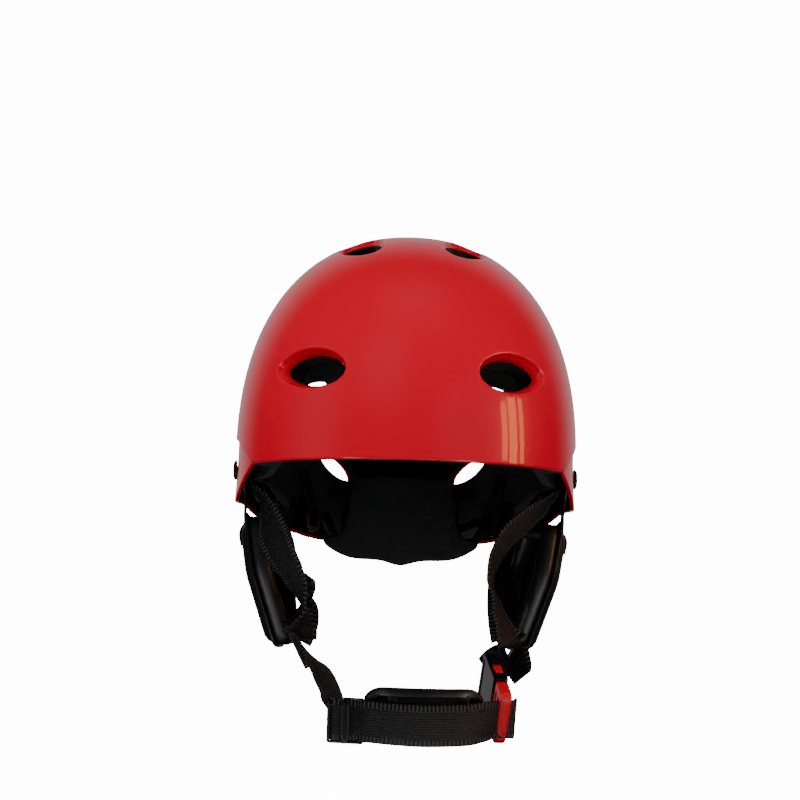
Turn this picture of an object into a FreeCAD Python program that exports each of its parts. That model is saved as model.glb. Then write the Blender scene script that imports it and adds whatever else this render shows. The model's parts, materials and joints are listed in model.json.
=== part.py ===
import FreeCAD, Part

"""Water sports helmet: hard shell, foam liner, ear protectors, fit dial and buckled harness.

Frame, in millimetres: +Z up, -Y is the wearer's front, +X is the wearer's left.  The origin is the
middle of the head opening, level with the front brim.  Every size is a cell of the sheet "Sizes".
"""

import math
import os

from FreeCAD import Placement, Rotation, Vector

os.makedirs("parts", exist_ok=True)

SIZES = {
    "shell_half_width": 112.0,
    "shell_half_length": 138.0,
    "dome_rise": 148.0,
    "dome_exponent": 2.32,
    "skirt_rise": 112.0,
    "equator_level": 6.0,
    "shell_wall": 3.2,
    "panel_step": 1.7,
    "fit_gap": 0.3,
    "liner_inset": 17.0,
    "pocket_inset": 12.6,
    "pad_wall": 6.5,
    "brim_level": 0.0,
    "flap_level": -23.0,
    "nape_level": -47.0,
    "vent_length": 53.0,
    "vent_width": 26.0,
    "vent_depth": 8.0,
    "vent_taper": 3.2,
    "vent_lip": 2.0,
    "webbing_width": 25.0,
    "webbing_wall": 1.6,
    "glide_length": 18.0,
    "glide_width": 33.0,
    "glide_wall": 3.2,
    "screw_head_radius": 6.5,
    "screw_shank_radius": 2.5,
    "nut_barrel_radius": 3.5,
    "rivet_head_radius": 5.0,
    "rivet_shank_radius": 2.0,
    "anchor_level": -2.0,
    "anchor_back": -8.0,
    "ear_height": 88.0,
    "ear_width": 60.0,
    "ear_dish": 9.0,
    "ear_wall": 2.0,
    "cushion_wall": 6.5,
    "hanger_wall": 2.0,
    "hanger_width": 26.0,
    "buckle_width": 37.0,
    "buckle_wall": 9.4,
    "dial_level": -43.0,
    "knob_radius": 15.0,
    "knob_length": 9.5,
    "spindle_radius": 3.0,
    "pinion_pitch_radius": 5.0,
    "pinion_wall": 4.4,
    "chin_pad_height": 33.0,
    "chin_pad_wall": 4.0,
}
PINION_TEETH = 10

doc = FreeCAD.newDocument("WaterHelmet")
sheet = doc.addObject("Spreadsheet::Sheet", "Sizes")
for row, (alias, value) in enumerate(SIZES.items(), start=1):
    sheet.set(f"A{row}", str(value))
    sheet.setAlias(f"A{row}", alias)
doc.recompute()

nodes = []


def size(name):
    """The value of a named cell."""
    return float(getattr(sheet, name))


def node(feature, label):
    """Registers a document object as one sub-part of the helmet."""
    feature.Label = label
    nodes.append(feature)
    return feature


def shape_node(label, shape):
    feature = doc.addObject("Part::Feature", label)
    feature.Shape = shape
    return node(feature, label)


def basis(origin, x_axis, z_axis):
    """A placement whose local X and Z run along the two directions, X kept exact."""
    x = Vector(x_axis).normalize()
    z = Vector(z_axis)
    z = (z - x * z.dot(x)).normalize()
    y = z.cross(x)
    matrix = FreeCAD.Matrix(
        x.x, y.x, z.x, origin.x, x.y, y.y, z.y, origin.y, x.z, y.z, z.z, origin.z, 0, 0, 0, 1
    )
    return Placement(matrix)


def mirrored(shape):
    """The same piece on the other side of the helmet."""
    return shape.mirror(Vector(0, 0, 0), Vector(1, 0, 0))


# ---------------------------------------------------------------- outlines


def rounded(corners):
    """A closed outline of straight runs and tangent arcs from (x, y, radius) corners."""
    edges = []
    count = len(corners)
    arcs = []
    for i, (x, y, radius) in enumerate(corners):
        here = Vector(x, y, 0)
        before = (Vector(*corners[i - 1][:2], 0) - here).normalize()
        after = (Vector(*corners[(i + 1) % count][:2], 0) - here).normalize()
        if radius <= 0:
            arcs.append((here, here, here))
            continue
        half = before.getAngle(after) / 2
        reach = radius / math.tan(half)
        middle = (before + after).normalize() * (radius / math.sin(half) - radius)
        arcs.append((here + before * reach, here + middle, here + after * reach))
    for i in range(count):
        start, middle, end = arcs[i]
        if (end - start).Length > 1e-6:
            edges.append(Part.Arc(start, middle, end))
        following = arcs[(i + 1) % count][0]
        if (following - end).Length > 1e-6:
            edges.append(Part.LineSegment(end, following))
    return edges


def rectangle(x_low, y_low, x_high, y_high, radius=0.0):
    corners = ((x_low, y_low), (x_high, y_low), (x_high, y_high), (x_low, y_high))
    return rounded([(x, y, radius) for x, y in corners])


def circle(x, y, radius):
    return [Part.Circle(Vector(x, y, 0), Vector(0, 0, 1), radius)]


def wire_of(outline):
    return Part.Wire([segment.toShape() for segment in outline])


def prism(outline, low, high):
    """A solid standing on the XY plane between two levels."""
    face = Part.Face(wire_of(outline))
    face.translate(Vector(0, 0, low))
    return face.extrude(Vector(0, 0, high - low))


def side_prism(outline, low, high):
    """A solid whose outline is drawn in (Y, Z) and which runs along X between two places."""
    solid = prism(outline, low, high)
    turn = FreeCAD.Matrix(0, 0, 1, 0, 1, 0, 0, 0, 0, 1, 0, 0, 0, 0, 0, 1)
    return solid.transformed(turn, True)


# ---------------------------------------------------------------- PartDesign pieces

ROLES = {"XY": "XY_Plane", "XZ": "XZ_Plane", "YZ": "YZ_Plane"}


def length_of(value):
    return size(value) if isinstance(value, str) else float(value)


def sketch_on(body, plane, outlines, level):
    """A sketch on one of the body's origin planes, moved to a level along +X, +Y or +Z."""
    sketch = body.newObject("Sketcher::SketchObject", body.Name + "_sketch")
    origin_plane = next(o for o in body.Origin.OriginFeatures if o.Role == ROLES[plane])
    sketch.AttachmentSupport = [(origin_plane, "")]
    sketch.MapMode = "FlatFace"
    along = -level if plane == "XZ" else level
    sketch.AttachmentOffset = Placement(Vector(0, 0, along), Rotation())
    for outline in outlines:
        for segment in outline:
            sketch.addGeometry(segment, False)
    doc.recompute()
    return sketch


def grow(body, plane, outlines, low, length):
    """Pads outlines from a level; length is a number or the name of a cell."""
    start = low + length_of(length) if plane == "XZ" else low
    feature = body.newObject("PartDesign::Pad", body.Name + "_pad")
    feature.Profile = sketch_on(body, plane, outlines, start)
    feature.Length = length_of(length)
    if isinstance(length, str):
        feature.setExpression("Length", "Sizes." + length)
    doc.recompute()
    return feature


def pocket(body, plane, outlines, low, high):
    """Cuts outlines out of the body between two levels, and checks that something was cut."""
    before = body.Shape.Volume
    start = low if plane == "XZ" else high
    feature = body.newObject("PartDesign::Pocket", body.Name + "_pocket")
    feature.Profile = sketch_on(body, plane, outlines, start)
    feature.Length = high - low
    doc.recompute()
    if before - body.Shape.Volume < 0.01:
        raise ValueError(body.Label + ": a pocket cut nothing")
    return feature


def turned(body, outline):
    """Revolves an outline drawn in (radius, height) about the body's Z axis."""
    feature = body.newObject("PartDesign::Revolution", body.Name + "_turned")
    feature.Profile = sketch_on(body, "XZ", [outline], 0.0)
    feature.ReferenceAxis = (feature.Profile[0], ["V_Axis"])
    feature.Angle = 360
    doc.recompute()
    return feature


def polar(body, feature, count):
    pattern = body.newObject("PartDesign::PolarPattern", body.Name + "_polar")
    pattern.Originals = [feature]
    z_axis = next(o for o in body.Origin.OriginFeatures if o.Role == "Z_Axis")
    pattern.Axis = (z_axis, [""])
    pattern.Angle = 360
    pattern.Occurrences = count
    body.Tip = pattern
    doc.recompute()
    return pattern


def soften(body, radius, picks):
    """Fillets the edges of the body's tip that a test picks."""
    base = body.Tip
    names = [f"Edge{i}" for i, edge in enumerate(base.Shape.Edges, start=1) if picks(edge)]
    feature = body.newObject("PartDesign::Fillet", body.Name + "_fillet")
    feature.Base = (base, names)
    feature.Radius = radius
    doc.recompute()
    if not feature.Shape.isValid() or "Invalid" in feature.State:
        raise ValueError(body.Label + ": fillet failed")
    return feature


def new_body(label, placement=None):
    body = doc.addObject("PartDesign::Body", label)
    if placement is not None:
        body.Placement = placement
    return node(body, label)


# ---------------------------------------------------------------- dome


def profile_radius(drop, rise):
    """Share of the full half width at a distance above or below the equator."""
    exponent = size("dome_exponent")
    return (1 - min(1.0, abs(drop) / rise) ** exponent) ** (1 / exponent)


def dome_profile(inset, floor):
    """Half outline of the dome in the XZ plane, from its apex down to the floor."""
    rise = size("dome_rise") - inset
    equator = size("equator_level")
    half_width = size("shell_half_width") - inset
    exponent = size("dome_exponent")
    points = []
    for step in range(10):
        polar_angle = math.radians(90 * step / 9)
        across, up = math.sin(polar_angle), math.cos(polar_angle)
        reach = (across**exponent + up**exponent) ** (-1 / exponent)
        points.append(Vector(half_width * reach * across, 0, equator + rise * reach * up))
    for share in (0.35, 0.7, 1.0):
        drop = (floor - equator) * share
        radius = half_width * profile_radius(drop, size("skirt_rise"))
        points.append(Vector(radius, 0, equator + drop))
    curve = Part.BSplineCurve()
    curve.interpolate(points)
    return curve.toShape(), points[0], points[-1]


def line(start, end):
    return Part.LineSegment(start, end).toShape()


def stretched(outline):
    """A closed half outline turned about Z, then drawn out to the helmet's length."""
    solid = Part.Face(Part.Wire(outline)).revolve(Vector(0, 0, 0), Vector(0, 0, 1), 360)
    solid.rotate(Vector(0, 0, 0), Vector(0, 0, 1), 90)
    stretch = FreeCAD.Matrix()
    stretch.scale(1, size("shell_half_length") / size("shell_half_width"), 1)
    solid = solid.transformGeometry(stretch)
    return Part.Solid(solid.Shells[0]) if solid.ShapeType != "Solid" else solid


def dome(inset, floor=-72.0):
    """The solid inside the helmet's outer surface moved inwards by inset, flat at the floor."""
    curve, top, bottom = dome_profile(inset, floor)
    centre = Vector(0, 0, floor)
    return stretched([curve, line(bottom, centre), line(centre, top)])


def dome_layer(outer, inner, floor=-72.0):
    """The layer of the dome between two insets, open at the floor."""
    curve, top, bottom = dome_profile(outer, floor)
    inner_curve, inner_top, inner_bottom = dome_profile(inner, floor)
    return stretched([curve, line(bottom, inner_bottom), inner_curve, line(inner_top, top)])


def oval_post(inset, low=-90.0, high=60.0):
    """An upright post whose section is the helmet's widest outline moved inwards by inset."""
    half_width = size("shell_half_width") - inset
    half_length = half_width * size("shell_half_length") / size("shell_half_width")
    ring = Part.Ellipse(Vector(0, 0, 0), half_length, half_width).toShape()
    ring.rotate(Vector(0, 0, 0), Vector(0, 0, 1), 90)
    ring.translate(Vector(0, 0, low))
    return Part.Face(Part.Wire([ring])).extrude(Vector(0, 0, high - low))


def surface_point(side, back, level, inset=0.0):
    """(point, outward normal) of the dome where it has this sign of X, this Y and this Z."""
    half_width = size("shell_half_width") - inset
    half_length = size("shell_half_length") - inset
    drop = level - size("equator_level")
    rise = size("dome_rise") - inset if drop > 0 else size("skirt_rise")
    share = profile_radius(drop, rise)
    across = half_width * math.sqrt(max(0.0, share**2 - (back / half_length) ** 2))
    exponent = size("dome_exponent")
    plan = share ** (exponent - 2)
    normal = Vector(
        plan * side * across / half_width**2,
        plan * back / half_length**2,
        math.copysign((abs(drop) / rise) ** (exponent - 1) / rise, drop),
    ).normalize()
    return Vector(side * across, back, level), normal


# Rim of the shell seen from the side, as (y, z, radius) corners.
BRIM = size("brim_level")
FLAP = size("flap_level")
NAPE = size("nape_level")
rim_outline = rounded(
    [
        (-160, BRIM + 2.5, 0),
        (-64, BRIM, 7),
        (-22, FLAP, 9),
        (34, FLAP - 1, 60),
        (106, NAPE, 60),
        (160, NAPE, 0),
        (160, -90, 0),
        (-160, -90, 0),
    ]
)
below_rim = side_prism(rim_outline, -150, 150)

# The side panel, one step lower than the dome, around the anchor and the ear protector.
panel_outline = [(-67, -90, 0), (-67, BRIM - 1, 3), (-30, 17.5, 70), (38, 17.5, 80), (128, -90, 0)]


def panel_prism(growth):
    grown = [(y + math.copysign(growth, y), z + (growth if z > -50 else 0), r) for y, z, r in panel_outline]
    return side_prism(rounded(grown), -150, 150)


# Vents on the wearer's left: (y, z, lean of the long axis in degrees, share of full length).
VENTS = {
    "front": (-105.5, 58, 2, 1.0),
    "crown_front": (-50, 141, 38, 0.9),
    "crown_rear": (58, 138, -38, 0.9),
    "rear_side": (92, 62, 6, 0.95),
    "rear_low": (118, 6, -28, 0.85),
}


def vent_wire(length, width, placement):
    """An almond outline, pointed at the outer end, in a plane across the vent's axis."""
    points = []
    for step in range(16):
        turn = 2 * math.pi * step / 16
        point_share = ((1 + math.cos(turn)) / 2) ** 2
        across = width / 2 * math.sin(turn) * (1 - 0.28 * point_share)
        points.append(Vector(length / 2 * math.cos(turn), across, 0))
    curve = Part.BSplineCurve()
    curve.interpolate(points, PeriodicFlag=True)
    edge = curve.toShape()
    edge.Placement = placement
    return Part.Wire([edge])


def vent_placement(back, level, lean):
    point, normal = surface_point(1, back, level)
    outwards = Vector(0, 0, 1).cross(normal)
    outwards = Vector(outwards.x, outwards.y, outwards.z)
    if outwards.x < 0:
        outwards = outwards * -1
    frame = basis(point, outwards, normal)
    return frame.multiply(Placement(Vector(), Rotation(Vector(0, 0, 1), lean)))


def vent_solid(name, growth, outside, depth):
    """The tapered hole of one left-hand vent, grown all round, from outside to a depth."""
    back, level, lean, share = VENTS[name]
    frame = vent_placement(back, level, lean)
    taper = size("vent_taper") / size("vent_depth")
    wires = []
    for height in (outside, -depth):
        shrink = 2 * (growth + taper * height)
        length = size("vent_length") * share + shrink
        width = size("vent_width") * share + shrink
        wires.append(vent_wire(length, width, frame.multiply(Placement(Vector(0, 0, height), Rotation()))))
    return Part.makeLoft(wires, True, True)


def vents(growth, outside, depth):
    left = [vent_solid(name, growth, outside, depth) for name in VENTS]
    return left + [mirrored(solid) for solid in left]


def anchor_hole(radius):
    """Drillings through each side for the anchor screws."""
    drill = Part.makeCylinder(radius, 90, Vector(60, size("anchor_back"), size("anchor_level")), Vector(1, 0, 0))
    return [drill, mirrored(drill)]


REAR_ANCHOR = (80.0, -24.0)


def rear_anchor(inset):
    return surface_point(1, REAR_ANCHOR[0], REAR_ANCHOR[1], inset)


def rear_drill(radius):
    point, normal = rear_anchor(0)
    drill = Part.makeCylinder(radius, 60, point - normal * 40, normal)
    return [drill, mirrored(drill)]


WALL = size("shell_wall")
STEP = size("panel_step")
GAP = size("fit_gap")


def make_shell():
    """Hollow dome, thinner behind each side panel, with a turned-in lip round every vent."""
    shell = dome_layer(0, WALL)
    lips = [lip.common(dome(1.0)) for lip in vents(size("vent_lip"), -0.2, size("vent_depth"))]
    shell = shell.fuse(lips)
    shell = shell.cut(panel_prism(0).cut(oval_post(STEP)))
    shell = shell.cut(vents(0, 8, size("vent_depth") + 4))
    shell = shell.cut(below_rim)
    for drill in anchor_hole(size("screw_shank_radius") + 0.2) + rear_drill(size("rivet_shank_radius") + 0.2):
        shell = shell.cut(drill)
    return shell


def make_liner():
    """Foam liner with relief behind the side panels, a notch for the dial and cut vents."""
    liner = dome_layer(WALL + GAP, size("liner_inset"))
    liner = liner.cut(panel_prism(-4).cut(oval_post(size("pocket_inset"))))
    rim = rounded(
        [
            (-160, 7, 0),
            (-74, 5, 10),
            (-50, -7, 10),
            (44, -9, 30),
            (100, -42, 40),
            (160, -42, 0),
            (160, -90, 0),
            (-160, -90, 0),
        ]
    )
    dial_notch = prism(rectangle(-42, 60, 42, 150, 8), -90, -22)
    strap_relief = side_prism(rectangle(58, -70, 99, -6, 6), -150, 150)
    liner = liner.cut(strap_relief.cut(oval_post(size("pocket_inset"))))
    arm_relief = prism(rectangle(36, 58, 78, 108, 6), -90, -15)
    liner = liner.cut([side_prism(rim, -150, 150), dial_notch, arm_relief, mirrored(arm_relief)])
    return liner.cut(vents(size("vent_lip") + 1.2, 2, 26))


shape_node("outer_shell", make_shell())
shape_node("foam_liner", make_liner())


# ---------------------------------------------------------------- comfort pads


def lining(zone):
    """A foam pad on the liner's inner face, inside the zone."""
    inset = size("liner_inset") + GAP
    return dome_layer(inset, inset + size("pad_wall")).common(zone)


crown_zone = prism(rectangle(-34, -52, 34, 52, 22), 60, 170)
brow_zone = side_prism(rounded([(-150, 11, 0), (-48, 11, 0), (-56, 34, 0), (-150, 38, 0)]), -72, 72)
shape_node("crown_pad", lining(crown_zone))
shape_node("brow_pad", lining(brow_zone))
side_zone = side_prism(rounded([(-34, 4, 9), (44, 4, 9), (36, 44, 9), (-24, 44, 9)]), 40, 150)
side_pad = lining(side_zone)
shape_node("side_pad_left", side_pad)
shape_node("side_pad_right", mirrored(side_pad))


# ---------------------------------------------------------------- webbing


def ribbon(path, width, wall):
    """A strap along (point, width direction) pairs, its four corner rails splines, its ends square."""
    points = [Vector(*p) for p, _ in path]
    rails = [[], [], [], []]
    for i, (_, across) in enumerate(path):
        ahead = points[min(i + 1, len(points) - 1)] - points[max(i - 1, 0)]
        ahead.normalize()
        side = Vector(*across)
        side = (side - ahead * side.dot(ahead)).normalize()
        face = ahead.cross(side)
        for rail, (a, b) in zip(rails, ((-1, -1), (1, -1), (1, 1), (-1, 1))):
            rail.append(points[i] + side * (a * width / 2) + face * (b * wall / 2))
    edges = []
    for rail in rails:
        curve = Part.BSplineCurve()
        curve.interpolate(rail)
        edges.append(curve.toShape())
    faces = [Part.makeRuledSurface(edges[i], edges[(i + 1) % 4]) for i in range(4)]
    for end in (0, -1):
        corners = [rail[end] for rail in rails]
        faces.append(Part.Face(Part.makePolygon(corners + corners[:1])))
    shell = Part.makeShell([face for group in faces for face in group.Faces])
    shell.sewShape()
    solid = Part.Solid(shell if shell.ShapeType == "Shell" else shell.Shells[0])
    if solid.Volume < 0:
        solid.reverse()
    return solid


WEB = size("webbing_width")
THIN = size("webbing_wall")
ANCHOR_Y = size("anchor_back")
ANCHOR_Z = size("anchor_level")
STRAP_X = size("shell_half_width") - 8.4
HANGER_X = size("shell_half_width") - 6.0


def punched(strap, radius, place, axis):
    return strap.cut(Part.makeCylinder(radius, 40, Vector(*place) - Vector(*axis) * 20, Vector(*axis)))


def front_strap(side, lower):
    top = [
        ((side * STRAP_X, ANCHOR_Y, ANCHOR_Z + 9), (0, 1, 0)),
        ((side * STRAP_X, ANCHOR_Y, ANCHOR_Z - 2), (0, 1, 0)),
        ((side * (STRAP_X - 1.2), ANCHOR_Y - 2, ANCHOR_Z - 9), (0, 1, 0)),
        ((side * (STRAP_X - 3.6), ANCHOR_Y - 5, ANCHOR_Z - 15), (0, 1, 0)),
    ]
    strap = ribbon(top + lower, WEB - 5, THIN)
    radius = size("nut_barrel_radius") + 0.2
    return punched(strap, radius, (side * 100, ANCHOR_Y, ANCHOR_Z), (1, 0, 0))


front_right = front_strap(
    -1,
    [
        ((-96, -22, -28), (-0.45, 0.88, 0)),
        ((-86, -39, -47), (-0.8, 0.6, 0)),
        ((-70, -43, -72), (-0.7, 0.7, 0.2)),
        ((-65, -38, -90), (0.1, 0.9, -0.3)),
        ((-66, -33, -101), (0.4, 0.6, -0.6)),
    ],
)
front_left = front_strap(
    1,
    [
        ((91.5, -23.5, -26), (0.15, 0.95, 0.1)),
        ((75, -37, -36), (0.35, 0.75, 0.55)),
        ((61, -42, -55), (0.3, 0.9, 0.25)),
        ((59, -40, -75), (0.1, 1, 0)),
        ((65, -35, -94), (0.55, 0.8, 0)),
        ((69, -32, -105), (0.6, 0.7, -0.3)),
    ],
)
shape_node("front_strap_right", front_right)
shape_node("front_strap_left", front_left)


def rear_strap(side, lower):
    """From its rivet between shell and liner, forward and down inside the ear protector."""
    inset = WALL + 3.6
    path = []
    for back, level in ((87, -15), (81, -24), (73, -37)):
        point, normal = surface_point(1, back, level, inset)
        path.append(((side * point.x, point.y, point.z), (side * normal.y, -normal.x * 0.9, 0.45)))
    strap = ribbon(path + lower, WEB - 5, THIN)
    for drill in rear_drill(size("rivet_shank_radius") + 0.2):
        strap = strap.cut(drill)
    return strap


rear_right = rear_strap(
    -1,
    [
        ((-70, 50, -50), (-0.4, 0.4, 0.85)),
        ((-64, 28, -66), (-0.3, 0.5, 0.85)),
        ((-61, 10, -88), (0.0, 0.6, 0.8)),
        ((-65, -4, -107), (-0.4, 0.2, 0.85)),
    ],
)
rear_left = rear_strap(
    1,
    [
        ((71, 50, -50), (0.4, 0.4, 0.85)),
        ((66, 28, -68), (0.3, 0.5, 0.85)),
        ((65, 10, -90), (0.0, 0.6, 0.8)),
        ((69, -4, -109), (0.4, 0.2, 0.85)),
    ],
)
shape_node("rear_strap_right", rear_right)
shape_node("rear_strap_left", rear_left)


# ---------------------------------------------------------------- slides and strap hardware


def glide(label, placement):
    """A three-bar slide: local X along the webbing, Y across it, Z through it."""
    body = new_body(label, placement)
    length, width, wall = size("glide_length"), size("glide_width"), size("glide_wall")
    outer = rectangle(-length / 2, -width / 2, length / 2, width / 2, 3.0)
    grow(body, "XY", [outer], -wall / 2, "glide_wall")
    soften(body, 0.8, lambda e: abs(abs(e.CenterOfMass.z) - wall / 2) < 1e-4)
    slot_half = (WEB + 1.0) / 2
    slots = [rectangle(1.7, -slot_half, 6.0, slot_half, 0.8), rectangle(-6.0, -slot_half, -1.7, slot_half, 0.8)]
    pocket(body, "XY", slots, -wall, wall)
    return body


divider_centre = {-1: Vector(-67.5, -20, -114), 1: Vector(71.5, -20, -117)}
for side, label in ((-1, "divider_right"), (1, "divider_left")):
    across = Vector(-side * 0.46, 0, -0.89)
    face = Vector(0, 1, 0).cross(across)
    glide(label, basis(divider_centre[side], (0, 1, 0), face))

SLIDER = Vector(-34.5, -89.7, -155.5)
SLIDER_ALONG = Vector(0.955, -0.297, 0)
glide("chin_slider", basis(SLIDER, SLIDER_ALONG, (-0.297, -0.955, 0)))

# ---------------------------------------------------------------- side-release buckle

BUCKLE_ORIGIN = Vector(62.8, -80, -154.5)
BUCKLE_ALONG = Vector(-0.14, 0.86, 0.49).normalize()
BUCKLE_OUT = Vector(0.987, 0.161, 0)
buckle = basis(BUCKLE_ORIGIN, BUCKLE_ALONG, BUCKLE_OUT)
HALF = size("buckle_width") / 2
THICK = size("buckle_wall")
MOUTH = 19.0
BUCKLE_END = 54.0


def make_male():
    """Webbing frame with a middle bar, and the flat guide that enters the socket."""
    body = new_body("buckle_male", buckle)
    frame = rectangle(0, -HALF, MOUTH - 0.4, HALF, 4.5)
    grow(body, "XY", [frame], -3.7, 7.4)
    soften(body, 1.6, lambda e: abs(abs(e.CenterOfMass.z) - 3.7) < 1e-4)
    half_slot = (WEB + 1.2) / 2
    slots = [rectangle(4.2, -half_slot, 8.6, half_slot, 1), rectangle(11.2, -half_slot, 15.2, half_slot, 1)]
    pocket(body, "XY", slots, -8, 8)
    guide = rectangle(MOUTH - 1.4, -4.5, MOUTH + 20, 4.5, 1.2)
    grow(body, "XY", [guide], -1.6, 3.2)
    return body


def make_prong(label, hand):
    """One spring arm with its finger bulge and catch, hinged where it joins the frame."""
    body = new_body(label, buckle)
    arm = [
        (MOUTH + 0.2, hand * 12.4, 0.4),
        (MOUTH + 0.2, hand * 16.2, 0.4),
        (MOUTH + 7.4, hand * 16.2, 0.5),
        (MOUTH + 8.2, hand * 18.2, 0.8),
        (MOUTH + 15.0, hand * 18.4, 2.0),
        (MOUTH + 23.0, hand * 14.6, 1.2),
        (MOUTH + 23.0, hand * 12.4, 0.8),
        (MOUTH + 12.0, hand * 13.6, 3.0),
    ]
    grow(body, "XY", [rounded(arm)], -2.6, 5.2)
    return body


def make_female():
    """Socket with open sides for the finger bulges, and a bar for its strap."""
    body = new_body("buckle_female", buckle)
    outer = [
        (MOUTH, -HALF, 1.5),
        (MOUTH, HALF, 1.5),
        (MOUTH + 26, HALF - 1.0, 7),
        (BUCKLE_END, HALF - 3.0, 4),
        (BUCKLE_END, -HALF + 3.0, 4),
        (MOUTH + 26, -HALF + 1.0, 7),
    ]
    grow(body, "XY", [rounded(outer)], -THICK / 2, "buckle_wall")
    soften(body, 1.2, lambda e: abs(abs(e.CenterOfMass.z) - THICK / 2) < 1e-4 and e.CenterOfMass.x > MOUTH + 1)
    pocket(body, "YZ", [rectangle(-HALF + 1.9, -3.0, HALF - 1.9, 3.0, 0.8)], MOUTH - 1, MOUTH + 24.5)
    windows = [
        rectangle(MOUTH + 7.0, -HALF - 2, MOUTH + 19, -HALF + 2.6),
        rectangle(MOUTH + 7.0, HALF - 2.6, MOUTH + 19, HALF + 2),
    ]
    pocket(body, "XY", windows, -3.0, 3.0)
    half_slot = (WEB + 1.2) / 2
    pocket(body, "XY", [rectangle(BUCKLE_END - 8, -half_slot, BUCKLE_END - 3.8, half_slot, 1)], -9, 9)
    return body


make_male()
make_prong("buckle_prong_upper", 1)
make_prong("buckle_prong_lower", -1)
make_female()


def in_buckle(along, across, out):
    return buckle.multVec(Vector(along, across, out))


def as_path(point, across):
    return ((point.x, point.y, point.z), (across.x, across.y, across.z))


BUCKLE_ACROSS = buckle.Rotation.multVec(Vector(0, 1, 0))

# ---------------------------------------------------------------- chin webbing and pad

Z_UP = Vector(0, 0, 1)
chin_front = [
    as_path(Vector(-24.6, -94.4, -155.8), Z_UP),
    as_path(Vector(-8, -98.6, -156.4), Z_UP),
    as_path(Vector(15, -100.6, -156.6), Z_UP),
    as_path(Vector(38, -96.4, -156.0), Z_UP),
    as_path(Vector(52, -86.5, -154.0), Vector(0.03, -0.25, 0.96)),
    as_path(in_buckle(6.4, 0, -6.5), BUCKLE_ACROSS),
]
shape_node("chin_strap", ribbon(chin_front, WEB, THIN))

lead = [
    ((-66.2, -30.8, -115.5), (0.46, 0, -0.89)),
    ((-65.9, -33.4, -115.6), (0.46, 0, -0.89)),
    ((-61.5, -40.5, -118), (0.48, 0.1, -0.85)),
    ((-55, -50, -126), (0.3, 0.6, -0.6)),
    ((-51, -62, -138), (0.1, 0.75, -0.6)),
    ((-45.9, -76.2, -149), (0.05, 0.35, -0.9)),
    ((-45.4, -83.8, -154.6), (0, 0, -1)),
]
shape_node("chin_lead_strap", ribbon(lead, WEB - 3, THIN))

pad_curve = [
    as_path(Vector(-20, -89.6, -153.5), Z_UP),
    as_path(Vector(-5, -93.4, -153.5), Z_UP),
    as_path(Vector(16, -95.2, -153.5), Z_UP),
    as_path(Vector(38, -90.6, -153.5), Z_UP),
    as_path(Vector(49, -81.6, -153.0), Z_UP),
]
shape_node("chin_pad", ribbon(pad_curve, size("chin_pad_height"), size("chin_pad_wall")))

link = [
    as_path(in_buckle(BUCKLE_END + 2.0, 0, 0.4), Vector(0.2, -0.3, 0.9)),
    ((61.5, -31.6, -122.0), (0.4, -0.1, 0.89)),
    ((69.2, -32.6, -118.4), (0.46, 0, 0.89)),
]
shape_node("buckle_loop_strap", ribbon(link, WEB - 3, THIN))
tail = [
    ((75.6, -33.0, -119.0), (0.4, 0, -0.9)),
    ((75.8, -35.0, -120.8), (0.38, 0.1, -0.9)),
    ((76.4, -38, -124), (0.3, 0.3, -0.87)),
    ((77.8, -41.5, -130), (0.15, 0.6, -0.74)),
]
shape_node("strap_tail", ribbon(tail, WEB - 5, THIN))


# ---------------------------------------------------------------- anchors

WALL_X = size("shell_half_width") - STEP


def anchor_placement(side):
    """Local Z points out of the helmet at the side anchor's screw head."""
    return basis(Vector(side * WALL_X, ANCHOR_Y, ANCHOR_Z), (0, 1, 0), (side, 0, 0))


def make_screw(side, label):
    body = new_body(label, anchor_placement(side))
    head, shank = size("screw_head_radius"), size("screw_shank_radius")
    outline = rounded(
        [(0, -8.6, 0), (shank, -8.6, 0.4), (shank, 0.35, 0), (head, 0.35, 0.4), (head, 1.6, 1.0), (head - 2, 2.5, 2), (0, 2.5, 0)]
    )
    turned(body, outline)
    cross = rounded(
        [(-3.6, -0.6, 0), (-0.6, -0.6, 0), (-0.6, -3.6, 0), (0.6, -3.6, 0), (0.6, -0.6, 0), (3.6, -0.6, 0),
         (3.6, 0.6, 0), (0.6, 0.6, 0), (0.6, 3.6, 0), (-0.6, 3.6, 0), (-0.6, 0.6, 0), (-3.6, 0.6, 0)]
    )
    pocket(body, "XY", [cross], 1.2, 3.0)
    notch = pocket(body, "XY", [circle(head + 0.7, 0, 1.3)], 0.0, 3.0)
    polar(body, notch, 8)
    return body


def make_nut(side, label):
    """Tee nut: a flange behind the straps and a barrel that the screw enters."""
    body = new_body(label, anchor_placement(side))
    bore, barrel = size("screw_shank_radius") + 0.05, size("nut_barrel_radius")
    outline = rounded(
        [(bore, -9.2, 0), (6.0, -9.2, 0.4), (6.0, -8.0, 0.4), (barrel, -8.0, 0), (barrel, -3.4, 0), (bore, -3.4, 0)]
    )
    turned(body, outline)
    return body


def make_rivet(side, label):
    """Rear anchor rivet through the shell wall and the strap."""
    point, normal = rear_anchor(0)
    outwards = Vector(side * normal.x, normal.y, normal.z)
    placement = basis(Vector(side * point.x, point.y, point.z), outwards.cross(Vector(0, 0, 1)), outwards)
    body = new_body(label, placement)
    head, shank = size("rivet_head_radius"), size("rivet_shank_radius")
    outline = rounded(
        [(0, -10.4, 0), (3.4, -10.4, 0.4), (3.4, -9.3, 0.3), (shank, -9.3, 0), (shank, 0.3, 0), (head, 0.3, 0.3),
         (head - 1.2, 1.9, 1.5), (0, 1.9, 0)]
    )
    turned(body, outline)
    return body


for side, hand in ((1, "left"), (-1, "right")):
    make_screw(side, "side_screw_" + hand)
    make_nut(side, "side_nut_" + hand)
    make_rivet(side, "rear_rivet_" + hand)


# ---------------------------------------------------------------- ear protectors

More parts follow.
